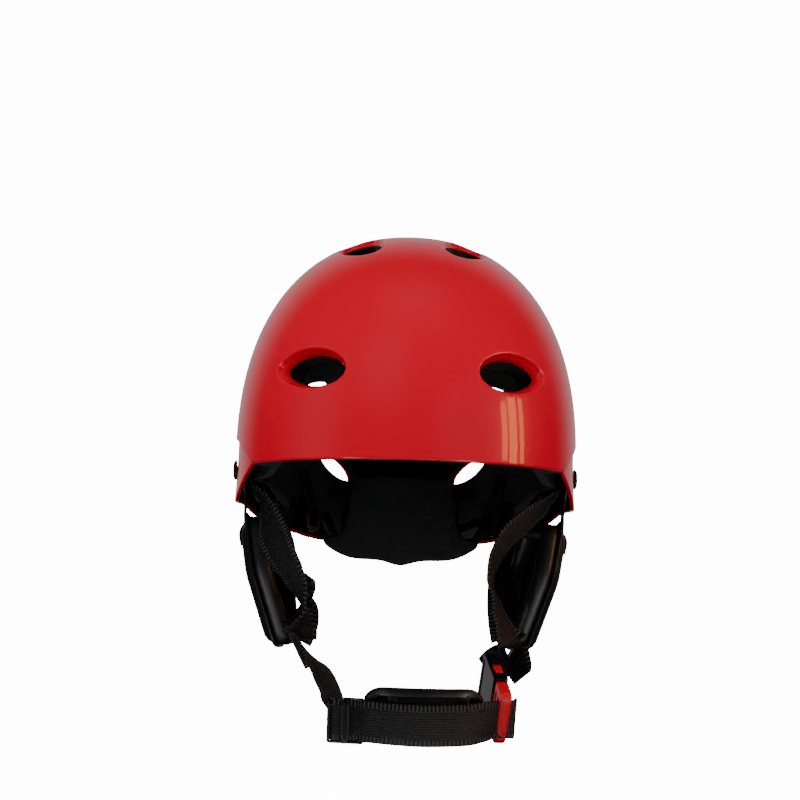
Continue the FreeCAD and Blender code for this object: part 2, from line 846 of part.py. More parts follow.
EAR_CENTRE = Vector(87.5, 10, -74.5)
TOE_IN = math.radians(16)
LEAN_IN = math.radians(13)
EAR_BACK = Vector(-math.sin(TOE_IN), math.cos(TOE_IN), 0)
EAR_UP = Vector(math.sin(LEAN_IN), 0, math.cos(LEAN_IN))
ear_frame = basis(EAR_CENTRE, EAR_BACK, EAR_BACK.cross(EAR_UP))


def ear_outline(inset, lift=0.0):
    """Leaf outline, wide at the top and narrow at the jaw, drawn backward (x) and up (y)."""
    half, tall = size("ear_width") / 2 - inset, size("ear_height") / 2 - inset
    corners = [
        (-half + 6, tall, 13), (half - 8, tall, 13), (half, 12, 30), (13 - inset / 2, -tall, 11),
        (-11 + inset / 2, -tall, 11), (-half, 6, 30),
    ]
    return rounded([(x, y, max(2.0, r - inset)) for x, y, r in corners])


def ear_section(inset, height):
    wire = wire_of(ear_outline(inset))
    wire.Placement = ear_frame.multiply(Placement(Vector(0, 0, height), Rotation()))
    return wire


def ear_prism(outline, low, high):
    solid = prism(outline, low, high)
    solid.Placement = ear_frame
    return solid


def make_ear_cup():
    """Moulded outer dish with a flange round the cushion and sound slots."""
    dish, wall = size("ear_dish"), size("ear_wall")
    flange = Part.makeLoft([ear_section(0, 0), ear_section(0.6, 2.4)], True, True)
    crown = Part.makeLoft([ear_section(4.5, 2.2), ear_section(7.5, dish - 2), ear_section(11, dish)], True, True)
    hollow = Part.makeLoft([ear_section(3.5, -0.1), ear_section(6.6, 2.2), ear_section(9.6, dish - 2.4)], True, True)
    cup = flange.fuse(crown).cut(hollow)
    slots = []
    for row in range(5):
        level = 20 - 10 * row
        half = 12 - 1.6 * row
        slots.append(ear_prism(rectangle(-half, level - 1.6, half, level + 1.6, 1.5), dish - 4, dish + 3))
    return cup.cut(slots).removeSplitter()


def make_ear_cushion():
    """Soft ring against the head, open in the middle over the ear."""
    wall = size("cushion_wall")
    ring = ear_prism(ear_outline(1.2), -wall, -GAP)
    return ring.cut(ear_prism(ear_outline(15), -wall - 1, 1))


ear_cup = make_ear_cup()
ear_cushion = make_ear_cushion()
shape_node("ear_cup_left", ear_cup)
shape_node("ear_cup_right", mirrored(ear_cup))
shape_node("ear_cushion_left", ear_cushion)
shape_node("ear_cushion_right", mirrored(ear_cushion))

HINGE_X, HINGE_Y, HINGE_Z = HANGER_X - 1.4, ANCHOR_Y + 7, -30.3
hanger_path = [
    ((HANGER_X, ANCHOR_Y, 9), (0, 1, 0)),
    ((HANGER_X, ANCHOR_Y, -4), (0, 1, 0)),
    ((HANGER_X - 0.8, ANCHOR_Y + 3.5, -14), (0, 1, 0)),
    ((HINGE_X, HINGE_Y, -25), (0, 1, 0)),
    ((HINGE_X, HINGE_Y, HINGE_Z + 0.35), (0, 1, 0)),
]
hanger = ribbon(hanger_path, size("hanger_width"), size("hanger_wall"))
hanger = punched(hanger, size("nut_barrel_radius") + 0.2, (HANGER_X, ANCHOR_Y, ANCHOR_Z), (1, 0, 0))
tab_path = [((HINGE_X, HINGE_Y, HINGE_Z - 0.35), (0, 1, 0)), ((HINGE_X + 0.4, HINGE_Y, HINGE_Z - 2.0), (0, 1, 0))]
for height in (34, 29, 24):
    foot = ear_frame.multVec(Vector(-10, height, size("ear_dish") + 2.0))
    tab_path.append(((foot.x, foot.y, foot.z), (-0.27, 0.96, 0)))
tab = ribbon(tab_path, size("hanger_width"), size("hanger_wall"))
shape_node("ear_hanger_left", hanger)
shape_node("ear_hanger_right", mirrored(hanger))
shape_node("ear_tab_left", tab)
shape_node("ear_tab_right", mirrored(tab))


# ---------------------------------------------------------------- fit dial at the nape

DIAL_Z = size("dial_level")
PITCH = size("pinion_pitch_radius")
MODULE = 2 * PITCH / PINION_TEETH
TOOTH_PITCH = math.pi * MODULE
HOUSING_BACK = 107.0
HOUSING_FRONT = 96.0
TRACK_FLOOR = 103.8
dial_frame = basis(Vector(0, HOUSING_BACK, DIAL_Z), (1, 0, 0), (0, 1, 0))


def make_housing():
    """Box behind the nape plate, with a track for the two racks and a bearing for the spindle."""
    body = new_body("dial_housing", Placement(Vector(0, 0, DIAL_Z), Rotation()))
    outer = rectangle(-33, -14.5, 33, 14.5, 12)
    grow(body, "XZ", [outer], HOUSING_FRONT, HOUSING_BACK - HOUSING_FRONT)
    pocket(body, "XZ", [rectangle(-40, -10.4, 40, 10.4)], HOUSING_FRONT - 1, TRACK_FLOOR)
    pocket(body, "XZ", [circle(0, 0, size("spindle_radius") + 0.06)], TRACK_FLOOR - 1, HOUSING_BACK + 1)
    return body


def make_knob():
    """Grip knob with finger flutes, turned in one piece with its spindle."""
    body = new_body("dial_knob", dial_frame)
    radius, length, spindle = size("knob_radius"), size("knob_length"), size("spindle_radius")
    outline = rounded(
        [(0, -10.4, 0), (spindle, -10.4, 0.3), (spindle, 0.4, 0), (radius, 0.4, 0.8), (radius - 0.8, length, 1.8), (0, length, 0)]
    )
    turned(body, outline)
    flute = pocket(body, "XY", [circle(radius + 1.2, 0, 2.4)], 0.0, length + 1)
    polar(body, flute, 16)
    return body


def make_pinion():
    body = new_body("dial_pinion", dial_frame)
    tip, root = PITCH + 0.8 * MODULE, PITCH - 1.15 * MODULE
    low = -8.3
    grow(body, "XY", [circle(0, 0, root)], low, "pinion_wall")
    tooth = [(root - 0.6, -0.95, 0), (root, -0.92, 0), (tip, -0.34, 0.15), (tip, 0.34, 0.15), (root, 0.92, 0), (root - 0.6, 0.95, 0)]
    first = grow(body, "XY", [rounded(tooth)], low, "pinion_wall")
    polar(body, first, PINION_TEETH)
    pocket(body, "XY", [circle(0, 0, size("spindle_radius") + 0.02)], low - 1, low + 6)
    return body


def rack_bar(reach):
    """A toothed bar above the pinion, teeth down, its teeth in mesh at rest; local x runs outwards."""
    line = PITCH
    top = line + 4.6
    root = line + 1.1 * MODULE
    tip = line - 0.8 * MODULE
    first = -1.5 * TOOTH_PITCH
    corners = [(reach, top, 0), (first - 1.0, top, 0), (first - 1.0, root, 0)]
    for tooth in range(8):
        middle = first + TOOTH_PITCH * tooth + TOOTH_PITCH * 0.5
        corners += [(middle - 0.98, root, 0), (middle - 0.3, tip, 0), (middle + 0.3, tip, 0), (middle + 0.98, root, 0)]
    corners.append((reach, root, 0))
    return rounded(corners)


ARM_Z = DIAL_Z + 12.5


def make_rack(hand):
    """Rack, curved arm and the loop that the elastic ties to.  hand is 1 for the wearer's left."""
    bar = prism(rack_bar(36), 0, 3.2)
    flip = Placement(Vector(0, 102.6, DIAL_Z), Rotation(Vector(1, 0, 0), 90))
    bar.Placement = flip
    if hand < 0:
        bar = bar.copy()
        bar.rotate(Vector(0, 0, DIAL_Z), Vector(0, 1, 0), 180)
    low = 7.5 if hand > 0 else -7.5
    path = [
        ((hand * 34.6, 101, DIAL_Z + low), (0, 0, 1)),
        ((hand * 42, 100.2, DIAL_Z + low * 0.9 + 1), (0, 0, 1)),
        ((hand * 51, 92.5, ARM_Z - 1), (0, 0, 1)),
        ((hand * 58.4, 82.2, ARM_Z), (0, 0, 1)),
    ]
    wide = 5.4 if hand > 0 else 5.4
    band = ribbon(path, wide, 2.4)
    loop = prism(rectangle(-7, -10, 7, 10, 6.9), -1.3, 1.3).cut(prism(rectangle(-3.6, -6.4, 3.6, 6.4, 3.5), -3, 3))
    outwards = Vector(hand * 0.70, -0.714, 0)
    loop.Placement = basis(Vector(hand * 62.2, 77.8, ARM_Z), outwards, Vector(hand * 0.714, 0.70, 0))
    return bar.fuse([band, loop]).removeSplitter()


make_housing()
make_knob()
make_pinion()
for hand, name in ((1, "left"), (-1, "right")):
    shape_node("rack_arm_" + name, make_rack(hand))
    elastic = ribbon(
        [
            ((hand * 62.8, 77.0, ARM_Z + 10.6), (hand, -1, 0)),
            ((hand * 65.6, 76.2, ARM_Z + 20), (hand, -1, 0)),
            ((hand * 68.6, 76.8, ARM_Z + 31), (hand, -1, 0)),
        ],
        9,
        1.2,
    )
    shape_node("fit_elastic_" + name, elastic)

NAPE_EDGE = [(-55, -25, 4), (-54, -37, 5), (-30, -41, 10), (-12, -38, 14), (0, -42, 8), (12, -38, 14),
             (30, -41, 10), (54, -37, 5), (55, -25, 4), (43, -23, 6), (36, 22, 10), (-36, 22, 10), (-43, -23, 6)]


def nape_layer(outline, inner, outer):
    """A layer of the nape cushion, bowed round the back of the head between two depths."""
    block = Part.Face(wire_of(rounded(outline))).extrude(Vector(0, 0, 60))
    block.Placement = Placement(Vector(0, 120, -20), Rotation(Vector(1, 0, 0), 90))
    bow = Part.makeCylinder(150 - inner, 120, Vector(0, -58, -90)).cut(
        Part.makeCylinder(150 - outer, 122, Vector(0, -58, -91))
    )
    return block.common(bow)


plate_outline = [(x * 0.86, -17 + (z + 17) * 0.84, r) for x, z, r in NAPE_EDGE]
shape_node("nape_plate", nape_layer(plate_outline, 0, 2.4))
shape_node("nape_pad", nape_layer(NAPE_EDGE, 2.8, 9.5))

# ---------------------------------------------------------------- checks and export

doc.recompute()
for feature in doc.Objects:
    if "Invalid" in feature.State or "Error" in feature.State:
        raise RuntimeError(feature.Label + " failed: " + str(feature.State))
for feature in nodes:
    shape = feature.Shape
    if shape.isNull() or not shape.isValid() or shape.Volume <= 0:
        raise RuntimeError(feature.Label + " has no valid solid")
    shape.exportStep(os.path.join("parts", feature.Label + ".step"))
    print(f"{feature.Label:22s} solids {len(shape.Solids)} volume {shape.Volume / 1000:8.2f} cm3")
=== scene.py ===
import json
import math

import bmesh
import bpy
import numpy as np
from mathutils import Matrix, Vector


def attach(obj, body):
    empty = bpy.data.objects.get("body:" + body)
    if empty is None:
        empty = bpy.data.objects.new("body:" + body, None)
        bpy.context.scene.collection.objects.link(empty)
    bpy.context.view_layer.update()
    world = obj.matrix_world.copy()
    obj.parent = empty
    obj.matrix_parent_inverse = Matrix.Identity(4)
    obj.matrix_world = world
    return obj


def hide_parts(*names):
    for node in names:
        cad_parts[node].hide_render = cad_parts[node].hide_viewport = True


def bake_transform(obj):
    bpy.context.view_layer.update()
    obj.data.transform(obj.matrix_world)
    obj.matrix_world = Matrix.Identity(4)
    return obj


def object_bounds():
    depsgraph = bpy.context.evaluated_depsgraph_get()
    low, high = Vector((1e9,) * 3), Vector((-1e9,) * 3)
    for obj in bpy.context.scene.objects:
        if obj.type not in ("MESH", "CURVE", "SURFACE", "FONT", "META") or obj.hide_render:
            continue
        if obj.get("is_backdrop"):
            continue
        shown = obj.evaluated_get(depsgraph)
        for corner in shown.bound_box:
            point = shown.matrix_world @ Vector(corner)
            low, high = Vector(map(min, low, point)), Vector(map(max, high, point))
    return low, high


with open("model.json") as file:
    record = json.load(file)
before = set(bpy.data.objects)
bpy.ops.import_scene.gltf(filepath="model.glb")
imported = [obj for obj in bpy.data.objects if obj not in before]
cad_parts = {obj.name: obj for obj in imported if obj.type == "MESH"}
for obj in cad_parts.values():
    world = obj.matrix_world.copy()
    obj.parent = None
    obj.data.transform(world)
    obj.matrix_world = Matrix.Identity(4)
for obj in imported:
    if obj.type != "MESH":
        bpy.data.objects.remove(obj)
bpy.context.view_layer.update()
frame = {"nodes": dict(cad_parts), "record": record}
MM = 0.001
SIDES = ((1, "left"), (-1, "right"))
LENS = 88.5
CAMERA_PLACE = (-0.0300, -1.2997, -0.050)
CAMERA_TARGET = (-0.0048, 0.0, 0.0478)
CAMERA_ROLL = 1.6


# ---------------------------------------------------------------- camera, lights and sky


def aim(obj, target, roll=0.0):
    """Turns a camera or light so that it looks at a point, with a roll in degrees."""
    look = Vector(target) - obj.location
    turn = look.to_track_quat("-Z", "Y").to_matrix().to_4x4()
    obj.rotation_euler = (turn @ Matrix.Rotation(math.radians(roll), 4, "Z")).to_euler()


camera = bpy.data.objects.new("camera", bpy.data.cameras.new("camera"))
bpy.context.scene.collection.objects.link(camera)
bpy.context.scene.camera = camera
camera.data.lens = LENS
camera.data.sensor_width = 36
camera.data.clip_start = 0.05
camera.location = CAMERA_PLACE
aim(camera, CAMERA_TARGET, CAMERA_ROLL)


def area_light(name, place, target, width, height, power, colour=(1, 1, 1)):
    light = bpy.data.lights.new(name, "AREA")
    light.shape = "RECTANGLE"
    light.size, light.size_y = width, height
    light.energy = power
    light.color = colour
    obj = bpy.data.objects.new(name, light)
    bpy.context.scene.collection.objects.link(obj)
    obj.location = place
    aim(obj, target)
    return obj


def hidden_from_gloss(light):
    """A light that brightens surfaces but isn't mirrored in them, as a wide soft source would be."""
    light.visible_glossy = False
    return light


def only_gloss(light):
    """A light that makes highlights on smooth parts and adds nothing to their plain brightness."""
    light.visible_diffuse = False
    return light


hidden_from_gloss(area_light("key_light", (-0.7, -1.6, 1.1), (0, 0, 0), 1.2, 1.2, 11))
hidden_from_gloss(area_light("fill_light", (1.1, -1.5, 0.2), (0, 0, -0.05), 1.0, 1.2, 6))
hidden_from_gloss(area_light("left_light", (-1.6, -0.5, 0.3), (0, 0, 0), 1.0, 1.2, 11))
hidden_from_gloss(area_light("right_light", (1.6, -0.5, 0.3), (0, 0, 0), 1.0, 1.2, 9))
hidden_from_gloss(area_light("top_light", (0, -0.5, 1.6), (0, 0, 0), 1.2, 1.0, 7))
for side in (-1, 1):
    only_gloss(area_light("low_gloss", (side * 0.95, -0.95, -0.75), (side * 0.08, 0, -0.1), 0.35, 1.0, 7))
only_gloss(area_light("front_gloss", (0.0, -0.9, -1.0), (0, -0.1, -0.15), 1.4, 0.25, 5))
hidden_from_gloss(area_light("low_light", (0.0, -1.4, -0.35), (0, 0, -0.1), 1.2, 0.4, 3))
WARM = (1, 0.4, 0.12)
# The window mirrored in the shell: (place along Y, width, height, power) of each of its strips.
WINDOW = ((-0.46, 0.12, 0.42, 2.2), (-0.27, 0.17, 0.56, 4.2), (-0.08, 0.09, 0.44, 1.5))
for along, width, tall, power in WINDOW:
    strip = area_light("window_light", (1.45, along, 0.22), (0.07, -0.11, 0.03), width, tall, power, WARM)
    only_gloss(strip)

world = bpy.data.worlds.new("world")
bpy.context.scene.world = world
world.use_nodes = True
# A dark room with one bright patch behind the helmet, which the shell's edges mirror.
sky = world.node_tree
ray = sky.nodes.new("ShaderNodeTexCoord")
tilt = sky.nodes.new("ShaderNodeVectorMath")
tilt.operation = "DOT_PRODUCT"
tilt.inputs[1].default_value = (0, 0.958, 0.285)
shade = sky.nodes.new("ShaderNodeValToRGB")
shade.color_ramp.interpolation = "EASE"
shade.color_ramp.elements[0].position = 0.58
shade.color_ramp.elements[0].color = (0.02, 0.02, 0.02, 1)
shade.color_ramp.elements[1].position = 0.93
shade.color_ramp.elements[1].color = (1, 1, 1, 1)
sky.links.new(ray.outputs["Generated"], tilt.inputs[0])
sky.links.new(tilt.outputs["Value"], shade.inputs["Fac"])
sky.links.new(shade.outputs["Color"], sky.nodes["Background"].inputs["Color"])
sky.nodes["Background"].inputs["Strength"].default_value = 0.5


# ---------------------------------------------------------------- materials


class Paint:
    """A small helper for building one procedural material."""

    def __init__(self, name):
        self.material = bpy.data.materials.new(name)
        self.material.use_nodes = True
        self.tree = self.material.node_tree
        self.shader = self.tree.nodes["Principled BSDF"]

    def node(self, kind, **values):
        made = self.tree.nodes.new(kind)
        for key, value in values.items():
            if hasattr(made, key):
                setattr(made, key, value)
            else:
                made.inputs[key.replace("_", " ")].default_value = value
        return made

    def link(self, output, target):
        self.tree.links.new(output, target)

    def coords(self, stretch=(1, 1, 1), uv=False):
        texture = self.node("ShaderNodeTexCoord")
        mapping = self.node("ShaderNodeMapping")
        mapping.inputs["Scale"].default_value = stretch
        self.link(texture.outputs["UV" if uv else "Object"], mapping.inputs["Vector"])
        return mapping.outputs["Vector"]

    def noise(self, scale, detail=2.0, stretch=(1, 1, 1)):
        made = self.node("ShaderNodeTexNoise", Scale=scale, Detail=detail)
        self.link(self.coords(stretch), made.inputs["Vector"])
        return made.outputs["Fac"]

    def ramp(self, source, low, high, at=(0.3, 0.7)):
        made = self.node("ShaderNodeValToRGB")
        made.color_ramp.elements[0].position, made.color_ramp.elements[1].position = at
        made.color_ramp.elements[0].color = (*low, 1)
        made.color_ramp.elements[1].color = (*high, 1)
        self.link(source, made.inputs["Fac"])
        return made.outputs["Color"]

    def span(self, source, low, high):
        made = self.node("ShaderNodeMapRange")
        made.inputs["To Min"].default_value = low
        made.inputs["To Max"].default_value = high
        self.link(source, made.inputs["Value"])
        return made.outputs["Result"]

    def bump(self, source, distance, strength=1.0):
        made = self.node("ShaderNodeBump", Strength=strength, Distance=distance)
        self.link(source, made.inputs["Height"])
        if self.shader.inputs["Normal"].is_linked:
            before = self.shader.inputs["Normal"].links[0].from_socket
            self.link(before, made.inputs["Normal"])
        self.link(made.outputs["Normal"], self.shader.inputs["Normal"])


def plastic(name, low, high, roughness, grain=0.0, scale=60.0, coat=0.0):
    """Moulded plastic or foam: slight colour and gloss change, with a fine grain."""
    paint = Paint(name)
    paint.link(paint.ramp(paint.noise(9.0), low, high), paint.shader.inputs["Base Color"])
    wear = paint.span(paint.noise(22.0, 3.0), roughness * 0.88, roughness * 1.12)
    paint.link(wear, paint.shader.inputs["Roughness"])
    if grain:
        paint.bump(paint.noise(scale, 3.0), grain)
    paint.shader.inputs["Coat Weight"].default_value = coat
    paint.shader.inputs["Coat Roughness"].default_value = 0.03
    return paint.material


RED_COAT = 0.4
RED = plastic("shell_red", (0.86, 0.0, 0.024), (0.90, 0.0, 0.028), 0.24, coat=RED_COAT)
RED.node_tree.nodes["Principled BSDF"].inputs["Specular IOR Level"].default_value = 0.12


def add_lining(material):
    """Makes the shell's inner wall matt black: its mesh marks those points in "lined"."""
    tree = material.node_tree
    shader = tree.nodes["Principled BSDF"]
    depth = tree.nodes.new("ShaderNodeAttribute")
    depth.attribute_name = "lined"
    blend = tree.nodes.new("ShaderNodeMix")
    blend.data_type = "RGBA"
    blend.inputs["B"].default_value = (0.003, 0.003, 0.0033, 1)
    old = shader.inputs["Base Color"].links[0].from_socket
    tree.links.new(depth.outputs["Fac"], blend.inputs["Factor"])
    tree.links.new(old, blend.inputs["A"])
    tree.links.new(blend.outputs["Result"], shader.inputs["Base Color"])
    cover = tree.nodes.new("ShaderNodeMath")
    cover.operation = "MULTIPLY_ADD"
    cover.inputs[1].default_value = -RED_COAT
    cover.inputs[2].default_value = RED_COAT
    tree.links.new(depth.outputs["Fac"], cover.inputs[0])
    tree.links.new(cover.outputs["Value"], shader.inputs["Coat Weight"])


add_lining(RED)
RED_CLIP = plastic("clip_red", (0.74, 0.0, 0.010), (0.80, 0.0, 0.012), 0.32)
FOAM = plastic("liner_foam", (0.002, 0.002, 0.0022), (0.004, 0.004, 0.0044), 0.75, 0.00012, 900)
PAD = plastic("pad_foam", (0.002, 0.002, 0.0022), (0.004, 0.004, 0.0044), 0.9, 0.0002, 1400)
BLACK = plastic("black_plastic", (0.003, 0.003, 0.0034), (0.006, 0.006, 0.0065), 0.36, 0.00003, 1600)
EAR = plastic("ear_foam", (0.003, 0.003, 0.0033), (0.006, 0.006, 0.0064), 0.45, 0.00008, 700)
STEEL = plastic("black_steel", (0.012, 0.012, 0.013), (0.02, 0.02, 0.022), 0.3, 0.00002, 900)
STEEL.node_tree.nodes["Principled BSDF"].inputs["Metallic"].default_value = 0.7


# Webbing, in centimetres: where its stitched edge starts, and the lengths of stitch, twill and rib.
STITCH_FROM, STITCH, TWILL, RIB = 0.86, 0.25, 0.11, 0.16


def woven(name):
    """Webbing: twill in the middle and a row of stitches along both edges; UV is in centimetres. Its colour is
    a painted highlight on the raised stitches and ridges and painted shade in the dips.
    """
    paint = Paint(name)
    split = paint.node("ShaderNodeSeparateXYZ")
    paint.link(paint.coords(uv=True), split.inputs["Vector"])

    def math_node(kind, *values):
        made = paint.node("ShaderNodeMath")
        made.operation = kind
        for slot, value in zip(made.inputs, values):
            if isinstance(value, (int, float)):
                slot.default_value = value
            else:
                paint.link(value, slot)
        return made.outputs["Value"]

    run, across = split.outputs["X"], split.outputs["Y"]
    def wave(source, length):
        return math_node("SINE", math_node("MULTIPLY", source, 2 * math.pi / length))

    edge = math_node("GREATER_THAN", math_node("ABSOLUTE", across), STITCH_FROM)
    stitches = math_node("MULTIPLY", edge, wave(run, STITCH))
    twill = wave(math_node("ADD", run, across), TWILL)
    cloth = math_node("MULTIPLY", math_node("ADD", twill, wave(across, RIB)), 0.35)
    middle = math_node("MULTIPLY", math_node("SUBTRACT", 1, edge), cloth)
    height = math_node("ADD", stitches, middle)
    level = paint.span(height, 0.0, 1.0)
    level.node.inputs["From Min"].default_value = -1.0
    # Colour follows the weave's height: a painted highlight on the stitch peaks and twill ridges, and painted
    # shade in the dips, over the webbing's black.
    colour = paint.ramp(level, (0.0012, 0.0012, 0.0015), (0.045, 0.045, 0.05), (0.55, 1.0))
    paint.link(colour, paint.shader.inputs["Base Color"])
    paint.shader.inputs["Roughness"].default_value = 0.62
    paint.shader.inputs["Specular IOR Level"].default_value = 0.3
    paint.bump(height, 0.00022)
    return paint.material


WEB = woven("webbing")

SLOT_PAINT = {
    "shell_red": RED,
    "liner_foam": FOAM,
    "pad_foam": PAD,
    "black_plastic": BLACK,
    "ear_foam": EAR,
    "steel": STEEL,
    "webbing": WEB,
}
for part in frame["record"]["subparts"]:
    cad = frame["nodes"][part["node"]]
    cad.data.materials.clear()
    cad.data.materials.append(SLOT_PAINT[part["material_slot"]])
for name in ("buckle_male", "buckle_prong_upper", "buckle_prong_lower"):
    frame["nodes"][name].data.materials[0] = RED_CLIP


# ---------------------------------------------------------------- meshes


def mesh_object(name, points, faces, paint, body):
    mesh = bpy.data.meshes.new(name)
    mesh.from_pydata([tuple(c * MM for c in p) for p in points], [], faces)
    mesh.validate()
    tidy = bmesh.new()
    tidy.from_mesh(mesh)
    bmesh.ops.recalc_face_normals(tidy, faces=tidy.faces)
    tidy.to_mesh(mesh)
    tidy.free()
    mesh.shade_smooth()
    mesh.materials.append(paint)
    obj = bpy.data.objects.new(name, mesh)
    bpy.context.scene.collection.objects.link(obj)
    if body:
        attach(obj, body)
    return obj


# ---------------------------------------------------------------- shell

# The dome in millimetres: a superellipse of this power over an ellipse, as in the CAD.
HALF_W, HALF_L, RISE, SKIRT, EQUATOR, POWER = 112.0, 138.0, 148.0, 112.0, 6.0, 2.32
WALL = 3.2
DOME_GRID = 104
PANEL_STEP, PANEL_WALL, PANEL_EDGE, PANEL_GRID = 1.9, 2.4, 1.1, 1.9
VENT_LENGTH, VENT_WIDTH, VENT_REACH = 56.5, 26.5, 45


def dome_point(direction):
    """Maps a unit direction to a point of the dome's outer surface."""
    across = math.hypot(direction[0], direction[1])
    up = direction[2]
    reach = (across**POWER + abs(up) ** POWER) ** (-1 / POWER)
    tall = RISE if up > 0 else SKIRT
    return np.array(
        [HALF_W * reach * direction[0], HALF_L * reach * direction[1], EQUATOR + tall * reach * up]
    )


def dome_normal(p):
    """Outward unit normal of the dome at a point of it."""
    radial = math.hypot(p[0] / HALF_W, p[1] / HALF_L)
    drop = (p[2] - EQUATOR) / (RISE if p[2] > EQUATOR else SKIRT)
    lift = abs(drop) ** (POWER - 1) / (RISE if drop > 0 else SKIRT)
    plan = max(radial, 1e-9) ** (POWER - 2)
    n = np.array(
        [plan * p[0] / HALF_W**2, plan * p[1] / HALF_L**2, math.copysign(lift, drop)]
    )
    return n / np.linalg.norm(n)


def surface_at(side, back, level):
    """Dome point and normal with this sign of X, this Y and this Z."""
    tall = RISE if level > EQUATOR else SKIRT
    share = (1 - min(1.0, abs(level - EQUATOR) / tall) ** POWER) ** (1 / POWER)
    x = HALF_W * math.sqrt(max(0.0, share**2 - (back / HALF_L) ** 2))
    p = np.array([side * x, back, level])
    return p, dome_normal(p)


def arc_chain(corners, step=6):
    """Points of an open outline of straight runs with rounded corners (x, y, radius)."""
    points = [np.array(corners[0][:2], float)]
    for before, here, after in zip(corners, corners[1:], corners[2:]):
        h = np.array(here[:2], float)
        a = np.array(before[:2]) - h
        b = np.array(after[:2]) - h
        a, b = a / np.linalg.norm(a), b / np.linalg.norm(b)
        half = math.acos(np.clip(a @ b, -1, 1)) / 2
        reach = here[2] / math.tan(half)
        start, end = h + a * reach, h + b * reach
        for i in range(step + 1):
            t = i / step
            points.append((1 - t) ** 2 * start + 2 * t * (1 - t) * h + t * t * end)
    points.append(np.array(corners[-1][:2], float))
    return np.array(points)


# The shell's lower rim and the side panel's outline seen from the side: (y, z, corner radius).
RIM = arc_chain([(-160, 2.5, 0), (-64, 0, 7), (-22, -23, 9), (34, -24, 60), (106, -47, 60), (160, -47, 0)])
PANEL = arc_chain([(-67, -95, 0), (-67, -1, 3), (-30, 17.5, 70), (38, 17.5, 80), (128, -90, 0)], 12)


def segment_distance(points, chain, closed):
    """Distance from each 2-D point to a polyline."""
    ends = np.roll(chain, -1, axis=0) if closed else chain[1:]
    starts = chain if closed else chain[:-1]
    along = ends - starts
    square = (along**2).sum(1) + 1e-12
    share = ((points[:, None, :] - starts[None]) * along[None]).sum(2) / square
    near = starts[None] + np.clip(share, 0, 1)[..., None] * along[None]
    gap = np.linalg.norm(points[:, None, :] - near, axis=2)
    return gap.min(1)


def inside(points, chain):
    """True for the 2-D points inside a closed polyline."""
    x, y = points[:, 0], points[:, 1]
    flags = np.zeros(len(points), bool)
    for a, b in zip(chain, np.roll(chain, -1, axis=0)):
        crosses = (a[1] > y) != (b[1] > y)
        with np.errstate(divide="ignore", invalid="ignore"):
            at = (b[0] - a[0]) * (y - a[1]) / (b[1] - a[1]) + a[0]
        flags ^= crosses & (x < at)
    return flags


def above_rim(points, margin):
    """How far each point stands above the rim line, less a margin."""
    flat = points[:, 1:3]
    level = np.interp(flat[:, 0], RIM[:, 0], RIM[:, 1])
    gap = segment_distance(flat, RIM, False)
    return np.where(flat[:, 1] > level, gap, -gap) - margin


def out_of_panel(points, margin):
    """Signed distance outside the side panel's outline, less a margin."""
    flat = points[:, 1:3]
    gap = segment_distance(flat, PANEL, True)
    return np.where(inside(flat, PANEL), -gap, gap) - margin


# Vents on the wearer's left: (y, z, lean of the long axis in degrees, share of full size).
VENTS = {
    "front": (-106.5, 58, 2, 1.0),
    "crown_front": (-43, 144, 26, 1.1),
    "crown_rear": (58, 138, -38, 0.9),
    "rear_side": (92, 62, 6, 0.95),
    "rear_low": (118, 6, -28, 0.85),
}


def vent_frame(back, level, lean):
    """Centre, outward-tip direction, width direction and normal of a left-hand vent."""
    p, n = surface_at(1, back, level)
    tip = np.cross([0, 0, 1], n)
    tip = tip / np.linalg.norm(tip)
    if tip[0] < 0:
        tip = -tip
    wide = np.cross(n, tip)
    turn = math.radians(lean)
    return p, tip * math.cos(turn) + wide * math.sin(turn), wide * math.cos(turn) - tip * math.sin(turn), n


def almond(length, width, count=72):
    turn = np.arange(count) * 2 * math.pi / count
    point_share = ((1 + np.cos(turn)) / 2) ** 2
    return np.stack(
        [length / 2 * np.cos(turn), width / 2 * np.sin(turn) * (1 - 0.28 * point_share)], axis=1
    )


VENT_FRAMES = []
for back, level, lean, share in VENTS.values():
    place, tip, wide, out = vent_frame(back, level, lean)
    for side in (1, -1):
        flip = np.array([side, 1, 1])
        VENT_FRAMES.append((place * flip, tip * flip, wide * flip, out * flip, share))


def out_of_vents(points, margin):
    """Signed distance outside every vent's outline, less a margin."""
    best = np.full(len(points), 50.0)
    for place, tip, wide, out, share in VENT_FRAMES:
        rel = points - place
        near = np.where(np.linalg.norm(rel, axis=1) < VENT_REACH)[0]
        flat = np.stack([rel[near] @ tip, rel[near] @ wide], axis=1)
        outline = almond(VENT_LENGTH * share, VENT_WIDTH * share)
        gap = segment_distance(flat, outline, True)
        gap = np.where(inside(flat, outline), -gap, gap)
        best[near] = np.minimum(best[near], gap)
    return best - margin


